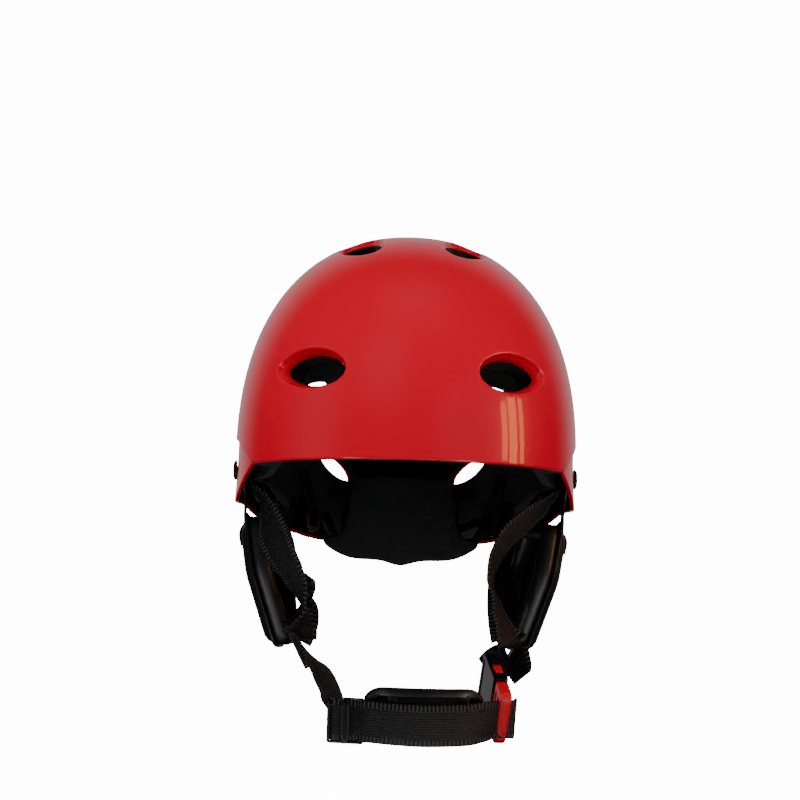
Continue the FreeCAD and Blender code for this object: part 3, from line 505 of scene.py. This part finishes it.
def clipped(points, faces, field, project):
    """Keeps the part of a polygon mesh where field > 0; cut points lie on the field's zero line."""
    values = field(points)
    keep = values > 0
    new_points, index, cuts = [], {}, {}

    def kept(i):
        if i not in index:
            index[i] = len(new_points)
            new_points.append(points[i])
        return index[i]

    crossing = sorted(
        {
            tuple(sorted((f[k], f[(k + 1) % len(f)])))
            for f in faces
            for k in range(len(f))
            if keep[f[k]] != keep[f[(k + 1) % len(f)]]
        }
    )
    if crossing:
        a = points[[c[0] for c in crossing]]
        b = points[[c[1] for c in crossing]]
        low, high = np.zeros(len(a)), np.ones(len(a))
        start_kept = keep[[c[0] for c in crossing]]
        for _ in range(14):
            middle = (low + high) / 2
            at = project(a + (b - a) * middle[:, None])
            same = (field(at) > 0) == start_kept
            low, high = np.where(same, middle, low), np.where(same, high, middle)
        at = project(a + (b - a) * ((low + high) / 2)[:, None])
        for pair, p in zip(crossing, at):
            cuts[pair] = len(new_points)
            new_points.append(p)
    out = []
    for f in faces:
        ring = []
        for k, i in enumerate(f):
            j = f[(k + 1) % len(f)]
            if keep[i]:
                ring.append(kept(i))
            if keep[i] != keep[j]:
                ring.append(cuts[tuple(sorted((i, j)))])
        if len(ring) >= 3:
            out.append(ring)
    return np.array(new_points), out


def welded(points, faces, reach):
    """Merges points closer than reach and drops faces that vanish."""
    bm = bmesh.new()
    made = [bm.verts.new(p) for p in points]
    for f in faces:
        try:
            bm.faces.new([made[i] for i in f])
        except ValueError:
            pass
    edge = [v for v in bm.verts if v.is_boundary]
    near = {w for v in edge for e in v.link_edges for w in e.verts}
    bmesh.ops.remove_doubles(bm, verts=list(near), dist=reach)
    bmesh.ops.dissolve_degenerate(bm, dist=0.01, edges=bm.edges)
    loose = [v for v in bm.verts if not v.link_faces]
    bmesh.ops.delete(bm, geom=loose, context="VERTS")
    bm.verts.index_update()
    out_points = np.array([v.co[:] for v in bm.verts])
    out_faces = [[v.index for v in f.verts] for f in bm.faces]
    bm.free()
    return out_points, out_faces


def edge_loops(faces):
    """Boundary loops as ordered point indices, the removed side always on the right."""
    edges = {}
    for f in faces:
        for k in range(len(f)):
            edges[(f[k], f[(k + 1) % len(f)])] = True
    following = {a: b for a, b in edges if (b, a) not in edges}
    loops = []
    while following:
        start = next(iter(following))
        loop, here = [], start
        while here in following:
            loop.append(here)
            here = following.pop(here)
        loops.append(loop)
    return loops


def thick_sheet(points, faces, normals, wall, profile_of):
    """Closes a surface into a wall: an inner copy, and a strip of rings along every edge.

    profile_of(loop points) gives per point a list of (outward, depth) steps in millimetres.
    The third result is 1 for the points of the inner copy and 0 for the others.
    """
    count = len(points)
    all_points = [*points, *(points - normals * wall)]
    all_faces = [list(f) for f in faces] + [[i + count for i in reversed(f)] for f in faces]
    for loop in edge_loops(faces):
        at = points[loop]
        n = normals[loop]
        tangent = np.roll(at, -1, axis=0) - np.roll(at, 1, axis=0)
        for _ in range(2):
            tangent = tangent + 0.5 * (np.roll(tangent, 1, axis=0) + np.roll(tangent, -1, axis=0))
        outward = np.cross(tangent, n)
        outward /= np.linalg.norm(outward, axis=1)[:, None] + 1e-12
        steps = profile_of(at)
        previous = list(loop)
        for k in range(len(steps[0])):
            ring = []
            for i in range(len(loop)):
                a, b = steps[i][k]
                ring.append(len(all_points))
                all_points.append(at[i] + outward[i] * a - n[i] * b)
            for i in range(len(loop)):
                j = (i + 1) % len(loop)
                all_faces.append([previous[j], previous[i], ring[i], ring[j]])
            previous = ring
        for i in range(len(loop)):
            j = (i + 1) % len(loop)
            all_faces.append([previous[j], previous[i], loop[i] + count, loop[j] + count])
    flags = [0] * count + [1] * count + [0] * (len(all_points) - 2 * count)
    return all_points, all_faces, flags


def round_edge(radius, wall, count=4):
    """Steps round a plain edge of this wall."""
    steps = []
    for i in range(1, count + 1):
        turn = math.pi / 2 * i / count
        steps.append((radius * math.sin(turn), radius * (1 - math.cos(turn))))
    for i in range(count):
        turn = math.pi / 2 * i / count
        steps.append((radius * math.cos(turn), wall - radius + radius * math.sin(turn)))
    return steps


def lip_edge(radius, depth, taper, lip, wall):
    """Steps over a vent's rounded lip, down its wall and back up behind it."""
    steps = []
    for i in range(1, 6):
        turn = math.pi / 2 * i / 5
        steps.append((radius * math.sin(turn), radius * (1 - math.cos(turn))))
    reach = radius + taper * (depth - radius) / depth
    steps += [(radius + taper * 0.4, depth * 0.45), (reach - 0.1, depth - 0.7), (reach - 0.4, depth - 0.1)]
    steps += [(reach - lip + 0.5, depth), (reach - lip, depth - 0.5), (0.0, wall + 0.6), (-0.4, wall)]
    return steps


# Radii of the shell's plain edge and of a vent's lip, and how deep the lip goes in.
EDGE = 1.3
LIP = 1.5
LIP_DEPTH = 8.0


def cube_dome(count):
    """Quad grid over the dome, made from the faces of a cube so that it has no pole."""
    points, faces = [], []
    half = count // 2

    def patch(u_axis, v_axis, w_axis, v_low):
        rows = range(v_low, half + 1)
        first = len(points)
        for v in rows:
            for u in range(-half, half + 1):
                a, b = math.tan(u / half * math.pi / 4), math.tan(v / half * math.pi / 4)
                d = np.array(w_axis) + a * np.array(u_axis) + b * np.array(v_axis)
                points.append(dome_point(d / np.linalg.norm(d)))
        width = 2 * half + 1
        for r in range(len(rows) - 1):
            for c in range(width - 1):
                i = first + r * width + c
                faces.append([i, i + 1, i + width + 1, i + width])

    patch((1, 0, 0), (0, 1, 0), (0, 0, 1), -half)
    for turn in range(4):
        c, s = round(math.cos(turn * math.pi / 2)), round(math.sin(turn * math.pi / 2))
        patch((-s, c, 0), (0, 0, 1), (c, s, 0), -int(half * 0.72))
    bm = bmesh.new()
    made = [bm.verts.new(p) for p in points]
    for f in faces:
        bm.faces.new([made[i] for i in f])
    bmesh.ops.remove_doubles(bm, verts=bm.verts, dist=0.01)
    bm.verts.index_update()
    out = np.array([v.co[:] for v in bm.verts]), [[v.index for v in f.verts] for f in bm.faces]
    bm.free()
    return out


def to_dome(points):
    """Puts points close to the dome back on it, along the ray from its middle."""
    scaled = points / np.array([HALF_W, HALF_L, 1.0])
    scaled[:, 2] = points[:, 2] - EQUATOR
    scaled[:, 2] /= np.where(scaled[:, 2] > 0, RISE, SKIRT)
    across = np.hypot(scaled[:, 0], scaled[:, 1])
    reach = (across**POWER + np.abs(scaled[:, 2]) ** POWER) ** (-1 / POWER)
    out = scaled * reach[:, None] * np.array([HALF_W, HALF_L, 1.0])
    out[:, 2] = EQUATOR + scaled[:, 2] * reach * np.where(scaled[:, 2] > 0, RISE, SKIRT)
    return out


def dome_field(points):
    return np.minimum(
        np.minimum(above_rim(points, EDGE), out_of_panel(points, EDGE)), out_of_vents(points, LIP)
    )


def build_dome():
    points, faces = cube_dome(DOME_GRID)
    points, faces = clipped(points, faces, dome_field, to_dome)
    points, faces = welded(points, faces, 0.5)
    normals = np.array([dome_normal(p) for p in points])
    plain = round_edge(EDGE, WALL)
    lip = lip_edge(LIP, LIP_DEPTH, 3.0, 1.8, WALL)

    def profile_of(at):
        is_lip = out_of_vents(at, LIP).mean() < 1.0
        return [lip if is_lip else plain] * len(at)

    return thick_sheet(points, faces, normals, WALL, profile_of)


def panel_point(side, back, level):
    """Side panel surface: upright, flaring slightly towards the flap."""
    flare = min(1.0, max(0.0, (10 - level) / 32)) ** 1.5
    half_width = HALF_W - PANEL_STEP + 1.5 * flare
    x = half_width * math.sqrt(max(0.0, 1 - (back / (HALF_L - PANEL_STEP)) ** 2))
    return np.array([side * x, back, level])


def build_panel(side):
    points, faces = [], []
    backs = np.arange(-78, 112.1, PANEL_GRID)
    levels = np.arange(-52, 26.1, PANEL_GRID)
    for level in levels:
        for back in backs:
            points.append(panel_point(side, back, level))
    width = len(backs)
    for r in range(len(levels) - 1):
        for c in range(width - 1):
            i = r * width + c
            quad = [i, i + 1, i + width + 1, i + width]
            faces.append(quad if side > 0 else quad[::-1])
    points = np.array(points)

    def project(at):
        return np.array([panel_point(side, p[1], p[2]) for p in at])

    def field(at):
        return np.minimum(above_rim(at, EDGE), -out_of_panel(at, 3.0))

    points, faces = clipped(points, faces, field, project)
    points, faces = welded(points, faces, 0.5)
    e = 0.5
    normals = []
    for p in points:
        dy = panel_point(side, p[1] + e, p[2]) - panel_point(side, p[1] - e, p[2])
        dz = panel_point(side, p[1], p[2] + e) - panel_point(side, p[1], p[2] - e)
        n = np.cross(dy, dz) * side
        normals.append(n / np.linalg.norm(n))
    edge = round_edge(PANEL_EDGE, PANEL_WALL)
    return thick_sheet(points, faces, np.array(normals), PANEL_WALL, lambda at: [edge] * len(at))


def joined(parts):
    points, faces = [], []
    for p, f in parts:
        base = len(points)
        points.extend(p)
        faces.extend([[i + base for i in face] for face in f])
    return points, faces


parts = [build_dome(), build_panel(1), build_panel(-1)]
shell = mesh_object("shell", *joined([part[:2] for part in parts]), RED, None)
lined = shell.data.attributes.new("lined", "FLOAT", "POINT")
lined.data.foreach_set("value", [float(flag) for part in parts for flag in part[2]])
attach(shell, "helmet")
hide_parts("outer_shell")


# ---------------------------------------------------------------- straps


def smooth_path(stations, spacing=1.5):
    """Catmull-Rom curve through (centre, width direction) stations, evenly enough sampled."""
    centres = [np.array(c, float) for c, _ in stations]
    widths = [np.array(w, float) / np.linalg.norm(w) for _, w in stations]
    out = []
    for i in range(len(centres) - 1):
        a, b = centres[max(i - 1, 0)], centres[i]
        c, d = centres[i + 1], centres[min(i + 2, len(centres) - 1)]
        count = max(2, int(np.linalg.norm(c - b) / spacing))
        for k in range(count + (i == len(centres) - 2)):
            t = k / count
            square, cube = 2 * a - 5 * b + 4 * c - d, 3 * b - a - 3 * c + d
            p = 0.5 * (2 * b + (c - a) * t + square * t**2 + cube * t**3)
            ease = t * t * (3 - 2 * t)
            out.append((p, widths[i] * (1 - ease) + widths[i + 1] * ease))
    return out


def strap(name, stations, width, wall, paint, body, narrowing=None):
    """A strap of rounded rectangular section.

    UV is in centimetres along it, and across it as on a strap 25 mm wide.
    """
    path = smooth_path(stations)
    corner = min(wall * 0.45, 0.8)
    half, thin = width / 2, wall / 2
    section = []
    for turn in range(4):
        sx, sy = ((1, 1), (-1, 1), (-1, -1), (1, -1))[turn]
        for k in range(3):
            angle = math.radians(90 * turn + 45 * k)
            across = sx * (half - corner) + corner * math.cos(angle)
            section.append((across, sy * (thin - corner) + corner * math.sin(angle)))
    points, run, uv_of = [], 0.0, []
    for i, (p, w) in enumerate(path):
        ahead = path[min(i + 1, len(path) - 1)][0] - path[max(i - 1, 0)][0]
        ahead /= np.linalg.norm(ahead)
        side = w - ahead * (w @ ahead)
        side /= np.linalg.norm(side)
        face = np.cross(ahead, side)
        if i:
            run += np.linalg.norm(p - path[i - 1][0])
        share = narrowing(i / (len(path) - 1)) if narrowing else 1.0
        for a, b in section:
            points.append(p + side * a * share + face * b)
            uv_of.append((run / 10, a / 10 * (12.5 / half)))
    n = len(section)
    faces = []
    for i in range(len(path) - 1):
        for k in range(n):
            j = (k + 1) % n
            faces.append([i * n + k, i * n + j, (i + 1) * n + j, (i + 1) * n + k])
    faces.append(list(range(n))[::-1])
    faces.append([(len(path) - 1) * n + k for k in range(n)])
    obj = mesh_object(name, points, faces, paint, body)
    layer = obj.data.uv_layers.new(name="UVMap")
    for loop in obj.data.loops:
        layer.data[loop.index].uv = uv_of[loop.vertex_index]
    for polygon in obj.data.polygons[-2:]:
        polygon.use_smooth = False
    return obj


def stands_for(obj, slot_name, *nodes):
    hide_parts(*nodes)
    return obj


front_right = strap(
    "webbing_front_right",
    [
        ((-103.6, -8, 7), (0, 1, 0)),
        ((-103.6, -8, -5), (0, 1, 0)),
        ((-98.5, -13, -15), (-0.15, 1, 0)),
        ((-91.5, -20, -25), (-0.42, 0.88, 0.1)),
        ((-83, -33, -47), (-0.8, 0.55, 0)),
        ((-76.2, -38, -60), (-0.75, 0.6, -0.1)),
        ((-69.4, -38, -72), (-0.62, 0.75, -0.1)),
        ((-65.0, -36, -85), (-0.15, 0.95, -0.3)),
        ((-64.0, -32, -97), (0.25, 0.7, -0.6)),
        ((-66.0, -28, -108), (0.4, 0.3, -0.85)),
    ],
    23,
    1.6,
    WEB,
    "helmet",
)
stands_for(front_right, "webbing", "front_strap_right")

front_left = strap(
    "webbing_front_left",
    [
        ((103.6, -8, 7), (0, 1, 0)),
        ((103.6, -8, -5), (0, 1, 0)),
        ((99.5, -12, -13), (0.1, 1, 0)),
        ((92, -18, -20), (0.25, 0.9, -0.25)),
        ((78.6, -27, -30), (0.36, 0.84, -0.4)),
        ((66.0, -36, -41), (0.36, 0.84, -0.4)),
        ((58.5, -41, -53.5), (0.32, 0.88, -0.25)),
        ((55.6, -42, -65.6), (0.25, 0.95, 0)),
        ((57.2, -40, -76.4), (0.12, 1, 0)),
        ((61.0, -37, -89), (0.35, 0.9, 0)),
        ((66.0, -33, -102), (0.55, 0.75, -0.2)),
        ((70.0, -28, -112), (0.5, 0.3, -0.8)),
    ],
    23,
    1.6,
    WEB,
    "helmet",
)
stands_for(front_left, "webbing", "front_strap_left")


def rear_stations(side, lower):
    stations = []
    for back, level in ((89, -12), (81, -24), (73, -38)):
        p, n = surface_at(1, back, level)
        q = p - n * 7.0
        stations.append(((side * q[0], q[1], q[2]), (side * n[1], -n[0] * 0.9, 0.45)))
    return stations + lower


rear_right = strap(
    "webbing_rear_right",
    rear_stations(
        -1,
        [
            ((-74, 50, -53), (-0.35, 0.45, 0.82)),
            ((-71, 28, -67), (-0.3, 0.5, 0.82)),
            ((-66.5, 12, -84), (-0.1, 0.7, 0.7)),
            ((-65.5, 0, -99), (-0.2, 0.6, 0.75)),
            ((-68.0, -9, -110), (-0.4, 0.2, 0.87)),
        ],
    ),
    23,
    1.6,
    WEB,
    "helmet",
)
stands_for(rear_right, "webbing", "rear_strap_right")
rear_left = strap(
    "webbing_rear_left",
    rear_stations(
        1,
        [
            ((73, 50, -53), (0.45, 0.4, 0.8)),
            ((70, 28, -68), (0.75, 0.35, 0.55)),
            ((68.5, 10, -88), (0.8, 0.35, 0.45)),
            ((70.0, -4, -107), (0.6, 0.2, 0.75)),
        ],
    ),
    23,
    1.6,
    WEB,
    "helmet",
)
stands_for(rear_left, "webbing", "rear_strap_left")

tail = strap(
    "webbing_tail",
    [
        ((72.5, -22, -117), (-0.46, 0, -0.89)),
        ((74.6, -32, -119.5), (-0.46, 0.05, -0.89)),
        ((75.8, -37, -124), (-0.4, 0.3, -0.87)),
        ((77.2, -40, -130), (-0.3, 0.6, -0.74)),
    ],
    22,
    1.6,
    WEB,
    "helmet",
)
stands_for(tail, "webbing", "strap_tail")

chin_strap = strap(
    "webbing_chin",
    [
        ((-43.4, -84.6, -155.5), (0, 0, 1)),
        ((-41.8, -89.2, -155.5), (0, 0, 1)),
        ((-36.8, -89.6, -155.5), (0, 0, 1)),
        ((-32.6, -89.4, -155.5), (0, 0, 1)),
        ((-27.2, -90.6, -155.6), (0, 0, 1)),
        ((-22.8, -94.6, -155.7), (0, 0, 1)),
        ((-17, -96.6, -155.9), (0, 0, 1)),
        ((-4, -99.4, -156.6), (0, 0, 1)),
        ((15, -101.0, -157.0), (0, 0, 1)),
        ((38, -96.6, -156.2), (0, 0, 1)),
        ((50, -89.5, -154.6), (0.01, -0.12, 0.99)),
        ((58.5, -79.5, -153.8), (0.04, -0.36, 0.93)),
        ((65.5, -76.0, -153.6), (0.04, -0.3, 0.95)),
        ((69.6, -73.0, -153.4), (0.04, -0.2, 0.97)),
        ((70.2, -69.6, -153.4), (0.04, -0.1, 0.98)),
    ],
    25,
    1.6,
    WEB,
    "chin_assembly",
)
stands_for(chin_strap, "webbing", "chin_strap")

lead = strap(
    "webbing_lead",
    [
        ((-66.8, -24, -114.5), (0.46, 0, -0.89)),
        ((-65.6, -33.4, -115.6), (0.46, 0.02, -0.89)),
        ((-59.5, -41.0, -118), (0.66, 0.25, -0.65)),
        ((-52.0, -50, -126), (0.75, 0.4, -0.5)),
        ((-46.0, -62, -137), (0.75, 0.4, -0.52)),
        ((-42.4, -74, -147), (0.65, 0.3, -0.7)),
        ((-42.4, -81.0, -153.0), (0.4, 0.05, -0.9)),
        ((-41.8, -83.6, -155.3), (0, 0, -1)),
    ],
    24,
    1.6,
    WEB,
    None,
)
stands_for(lead, "webbing", "chin_lead_strap")
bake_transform(lead)


# ---------------------------------------------------------------- slide of the chin strap


def bar(name, x, y, low, high, width, wall, point=0.0):
    """An upright bar of the slide, narrowing to its lower end if it has a point."""
    stations = [((x, y, z), (1, 0, 0)) for z in np.linspace(low, high, 7)]
    share = (lambda t: min(1.0, 0.35 + t / point)) if point else None
    return strap(name, stations, width, wall, BLACK, "chin_assembly", share)


slide_bar = bar("slide_centre_bar", -34.6, -92.4, -169.4, -144.2, 5.2, 3.0, 0.22)
stands_for(slide_bar, "black_plastic", "chin_slider")
for index, (x, y) in enumerate(((-44.8, -87.0), (-23.8, -92.6))):
    bar(f"slide_outer_bar_{index + 1}", x, y, -168.6, -142.8, 2.0, 2.6)
for index, z in enumerate((-142.6, -168.8)):
    route = [((x, y, z), (0, 0, 1)) for x, y in ((-44.8, -86.4), (-34.6, -89.4), (-23.8, -91.6))]
    rail = strap(f"slide_rail_{index + 1}", route, 1.8, 2.4, BLACK, "chin_assembly")


# ---------------------------------------------------------------- chin pad


def pad_path(rise, push=0.0, start=-24.0, end=50.0):
    """Stations along the chin pad's curve, raised and pushed outwards from its middle line."""
    knots = [(-26, -86.4), (-5, -92.2), (16, -94.0), (38, -89.4), (50.5, -79.6)]
    xs, ys = zip(*knots)
    stations = []
    for x in np.linspace(start, end, 9):
        y = float(np.interp(x, xs, ys))
        slope = float(np.interp(x + 3, xs, ys) - np.interp(x - 3, xs, ys)) / 6
        n = np.array([slope, -1.0]) / math.hypot(slope, 1)
        stations.append(((x + n[0] * push, y + n[1] * push, -151.0 + rise), (0, 0, 1)))
    return stations


END_RADIUS = 12


def rounded_ends(length, width):
    """Width share along a strap of this size whose four corners are rounded."""

    def share(t):
        reach = min(t, 1 - t) * length
        if reach >= END_RADIUS:
            return 1.0
        drop = END_RADIUS - math.sqrt(max(0.0, END_RADIUS**2 - (END_RADIUS - reach) ** 2))
        return 1 - drop / (width / 2)

    return share


pad_back = strap("chin_pad_back", pad_path(0.4), 31.6, 2.2, PAD, "chin_assembly", rounded_ends(78, 31.6))
# The rim goes up one end of the pad, along its top and down the other end: (x, rise).
RIM_ROUTE = [(-22.4, -12), (-22.2, -3), (-20.6, 7), (-14, 12.8), (-4, 13.4), (12, 13.4), (28, 13.4), (39, 13.0),
             (46.5, 8), (48.6, -2), (48.8, -12)]
rim_path = [(pad_path(rise, 0.9, x, x + 0.001)[0][0], (0, -1, 0)) for x, rise in RIM_ROUTE]
pad_rim = strap("chin_pad_rim", rim_path, 4.4, 5.6, BLACK, "chin_assembly")
pad_foot = strap("chin_pad_foot", pad_path(-13.2, 0.9, -18, 45), 5.0, 4.0, BLACK, "chin_assembly")
for index, x in enumerate((-6.0, 38.0)):
    y = float(np.interp(x, (-5, 16, 38), (-92.2, -94.0, -89.4))) - 1.3
    route = [((x, y, z), (1, 0, 0)) for z in (-139, -163)]
    post = strap(f"chin_pad_post_{index + 1}", route, 6.0, 2.2, EAR, "chin_assembly")
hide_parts("chin_pad")


# ---------------------------------------------------------------- nape cushion

# Half of the cushion's outline (x, z), from the scalloped lower edge up to the straight top.
NAPE_HALF = [(0, -63.2), (7, -61), (14, -58.8), (23, -58.6), (33, -58.6), (41, -56.2), (49, -52), (53, -49),
             (54.5, -46), (53, -44.2), (46, -43.2), (41, -40), (38.5, -32), (37, -10), (34, -2), (28, 0.5),
             (0, 0.8)]
NAPE_MIDDLE = np.array([0, -36])
NAPE_BOW = 150


def nape_ring(share, depth):
    """The cushion's outline drawn in towards its middle, bowed round the head at this depth."""
    half = np.array(NAPE_HALF)
    ring = np.concatenate([half, (half[1:-1] * [-1, 1])[::-1]])
    onward = np.roll(ring, -1, axis=0) - ring
    ring = np.concatenate([ring, ring + onward * 0.5], axis=1).reshape(-1, 2)
    for _ in range(2):
        ring = (np.roll(ring, 1, axis=0) + 2 * ring + np.roll(ring, -1, axis=0)) / 4
    ring = ring * share + NAPE_MIDDLE * (1 - share)
    radius = NAPE_BOW - depth
    return [(x, -58 + math.sqrt(radius**2 - x * x), z) for x, z in ring]


# Rings from the middle of one face, over the edge, to the middle of the other: (share, depth).
NAPE_RINGS = [(0.1, 2.8), (0.5, 2.8), (0.94, 2.8), (0.985, 3.4), (1.0, 5.0), (1.0, 7.2), (0.985, 8.8),
              (0.95, 9.5), (0.85, 9.6), (0.66, 9.5), (0.44, 9.5), (0.22, 9.5), (0.04, 9.5)]


def ring_faces(rings, n, closed=False):
    """Quads between rings of n points, with a cap on the first and last unless the loft closes."""
    faces = []
    for r in range(rings if closed else rings - 1):
        here, there = r * n, (r + 1) % rings * n
        faces += [[here + k, here + (k + 1) % n, there + (k + 1) % n, there + k] for k in range(n)]
    if not closed:
        faces += [list(range(n)), [(rings - 1) * n + k for k in range(n)][::-1]]
    return faces


nape_points = [p for share, depth in NAPE_RINGS for p in nape_ring(share, depth)]
nape_faces = ring_faces(len(NAPE_RINGS), len(nape_points) // len(NAPE_RINGS))
nape = mesh_object("nape_cushion", nape_points, nape_faces, PAD, "helmet")
stands_for(nape, "pad_foam", "nape_pad")


# ---------------------------------------------------------------- ear protectors

EAR_CENTRE = np.array([87.5, 10.0, -74.5])
TOE_IN, LEAN_IN = math.radians(16), math.radians(13)
EAR_X = np.array([-math.sin(TOE_IN), math.cos(TOE_IN), 0])
EAR_Z = np.cross(EAR_X, [math.sin(LEAN_IN), 0, math.cos(LEAN_IN)])
EAR_Z /= np.linalg.norm(EAR_Z)
EAR_Y = np.cross(EAR_Z, EAR_X)
EAR_LEAF = [(-24, 44, 13), (22, 44, 13), (30, 12, 30), (13, -44, 11), (-11, -44, 11), (-30, 6, 30)]


def ear_point(side, x, y, z):
    p = EAR_CENTRE + EAR_X * x + EAR_Y * y + EAR_Z * z
    return np.array([side * p[0], p[1], p[2]])


def leaf(count=96):
    """Points and inward normals of the ear protector's outline, evenly spaced."""
    ring = arc_chain([(0, 44, 0), *[EAR_LEAF[i] for i in (0, 5, 4, 3, 2, 1)], (0, 44, 0)], 10)
    gaps = np.linalg.norm(np.diff(ring, axis=0), axis=1)
    run = np.concatenate([[0], np.cumsum(gaps)])
    at = np.arange(count) / count * run[-1]
    points = np.stack([np.interp(at, run, ring[:, 0]), np.interp(at, run, ring[:, 1])], axis=1)
    for _ in range(2):
        points = (np.roll(points, 1, axis=0) + 2 * points + np.roll(points, -1, axis=0)) / 4
    tangent = np.roll(points, -1, axis=0) - np.roll(points, 1, axis=0)
    normal = np.stack([-tangent[:, 1], tangent[:, 0]], axis=1)
    return points, normal / np.linalg.norm(normal, axis=1)[:, None]


def leaf_loft(name, side, profile, paint, body, closed):
    """Rings of the leaf outline moved in and out along a profile of (inset, height)."""
    outline, inward = leaf()
    points = []
    for inset, height in profile:
        shrink = outline + inward * inset
        points += [ear_point(side, x, y, height) for x, y in shrink]
    return mesh_object(name, points, ring_faces(len(profile), len(outline), closed), paint, body)


SLOT_RADIUS = 1.6


def slot_ring(level, half, count=10):
    """Outline of one sound slot, a flat bar with round ends."""
    ring = []
    for end, start in ((1, math.pi / 2), (-1, -math.pi / 2)):
        for k in range(count + 1):
            turn = start - math.pi * k / count
            middle = end * (half - SLOT_RADIUS)
            ring.append((middle + SLOT_RADIUS * math.cos(turn), level + SLOT_RADIUS * math.sin(turn)))
    return ring


def slot_cutter(side, hand):
    """Five bars through the cup's face, shorter towards its narrow end."""
    slots = []
    for row in range(5):
        ring = slot_ring(20 - 10 * row, 12 - 1.6 * row)
        points = [ear_point(side, x, y, z) for z in (4.5, 12.0) for x, y in ring]
        slots.append((points, ring_faces(2, len(ring))))
    return mesh_object("slot_cutter_" + hand, *joined(slots), BLACK, None)


# Profiles in steps of (inset, height): the cup from back to face, and round the cushion's ring.
CUP = [(6, 0.1), (1.2, 0.1), (0.3, 0.5), (0, 1.2), (0.3, 2.0), (1.0, 2.5), (1.9, 2.3), (2.3, 1.9), (2.7, 2.3),
       (3.5, 3.6), (4.5, 5.2), (5.4, 6.3), (6.0, 6.5), (6.4, 6.3), (6.8, 6.6), (7.8, 7.8), (9.2, 8.6),
       (11.5, 9.0), (14.5, 9.05)]
CUSHION = [(3.0, -0.3), (1.4, -1.2), (0.8, -3.6), (1.0, -6.4), (2.2, -9.0), (4.6, -10.4), (8.0, -10.6),
           (10.6, -9.6), (12.0, -7.0), (12.4, -3.0), (12.0, -0.3)]
for side, hand in SIDES:
    body = "ear_protector_" + hand
    cup = leaf_loft("ear_shell_" + hand, side, CUP, BLACK, body, False)
    cutter = slot_cutter(side, hand)
    cut = cup.modifiers.new("sound_slots", "BOOLEAN")
    cut.operation = "DIFFERENCE"
    cut.object = cutter
    cut.solver = "EXACT"
    bpy.context.view_layer.objects.active = cup
    bpy.context.view_layer.update()
    with bpy.context.temp_override(object=cup, active_object=cup, selected_objects=[cup]):
        bpy.ops.object.modifier_apply(modifier="sound_slots")
    bpy.data.objects.remove(cutter)
    cup.data.set_sharp_from_angle(angle=math.radians(40))
    stands_for(cup, "black_plastic", "ear_cup_" + hand)
    cushion = leaf_loft("ear_pad_" + hand, side, CUSHION, EAR, body, True)
    stands_for(cushion, "ear_foam", "ear_cushion_" + hand)
    foot = [ear_point(side, -10, height, level) for height, level in ((40, 6.0), (34, 9.4), (26, 9.7))]
    hanger = strap(
        "ear_strip_" + hand,
        [
            ((side * 106, -8, 9), (0, 1, 0)),
            ((side * 106, -8, -4), (0, 1, 0)),
            ((side * 105.2, -4.5, -14), (0, 1, 0)),
            ((side * 104.6, -1, -24), (0, 1, 0)),
            ((side * 104.6, -1, -32), (0, 1, 0)),
            *[(tuple(p), (side * -0.27, 0.96, 0)) for p in foot],
        ],
        20,
        1.4,
        BLACK,
        None,
        lambda t: 1 - 0.4 * min(1, max(0, (t - 0.35) / 0.25)),
    )
    stands_for(hanger, "black_plastic", "ear_hanger_" + hand, "ear_tab_" + hand)
    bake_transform(hanger)

# ---------------------------------------------------------------- moulded parts with eased edges



def ease_edges(name, width, segments, sharper_than):
    """Rounds a CAD node's edges that turn by more than this angle in degrees; width in millimetres."""
    ease = frame["nodes"][name].modifiers.new("eased_edges", "BEVEL")
    ease.width = width * MM
    ease.segments = segments
    ease.limit_method = "ANGLE"
    ease.angle_limit = math.radians(sharper_than)
    ease.harden_normals = True


CAD_PADS = ("side_pad_left", "side_pad_right", "crown_pad", "brow_pad")
HARDWARE = ("buckle_male", "buckle_female", "buckle_prong_upper", "buckle_prong_lower", "divider_left",
            "divider_right", "dial_knob", "dial_housing", "rack_arm_left", "rack_arm_right")
ease_edges("nape_plate", 0.6, 4, 40)
for name in CAD_PADS:
    ease_edges(name, 2.0, 4, 40)
for name in HARDWARE:
    ease_edges(name, 0.5, 2, 35)

# ---------------------------------------------------------------- floor and finish


def white_stage(name, location, tilt):
    """A bright white sheet seen directly, which neither lights the helmet nor is mirrored in it."""
    bpy.ops.mesh.primitive_plane_add(size=40, location=location, rotation=(tilt, 0, 0))
    sheet = bpy.context.object
    sheet.name = name
    paint = Paint(name + "_white")
    white = paint.ramp(paint.noise(2.0), (0.98, 0.98, 0.98), (1, 1, 1))
    paint.link(white, paint.shader.inputs["Base Color"])
    paint.shader.inputs["Roughness"].default_value = 0.9
    paint.shader.inputs["Emission Color"].default_value = (1, 1, 1, 1)
    paint.shader.inputs["Emission Strength"].default_value = 14.0
    sheet.data.materials.append(paint.material)
    sheet.visible_glossy = False
    sheet.visible_diffuse = False
    sheet.visible_shadow = False
    sheet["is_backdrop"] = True


white_stage("floor", (0, 6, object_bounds()[0][2] - 0.35), 0)
white_stage("backdrop", (0, 9, 0), math.pi / 2)
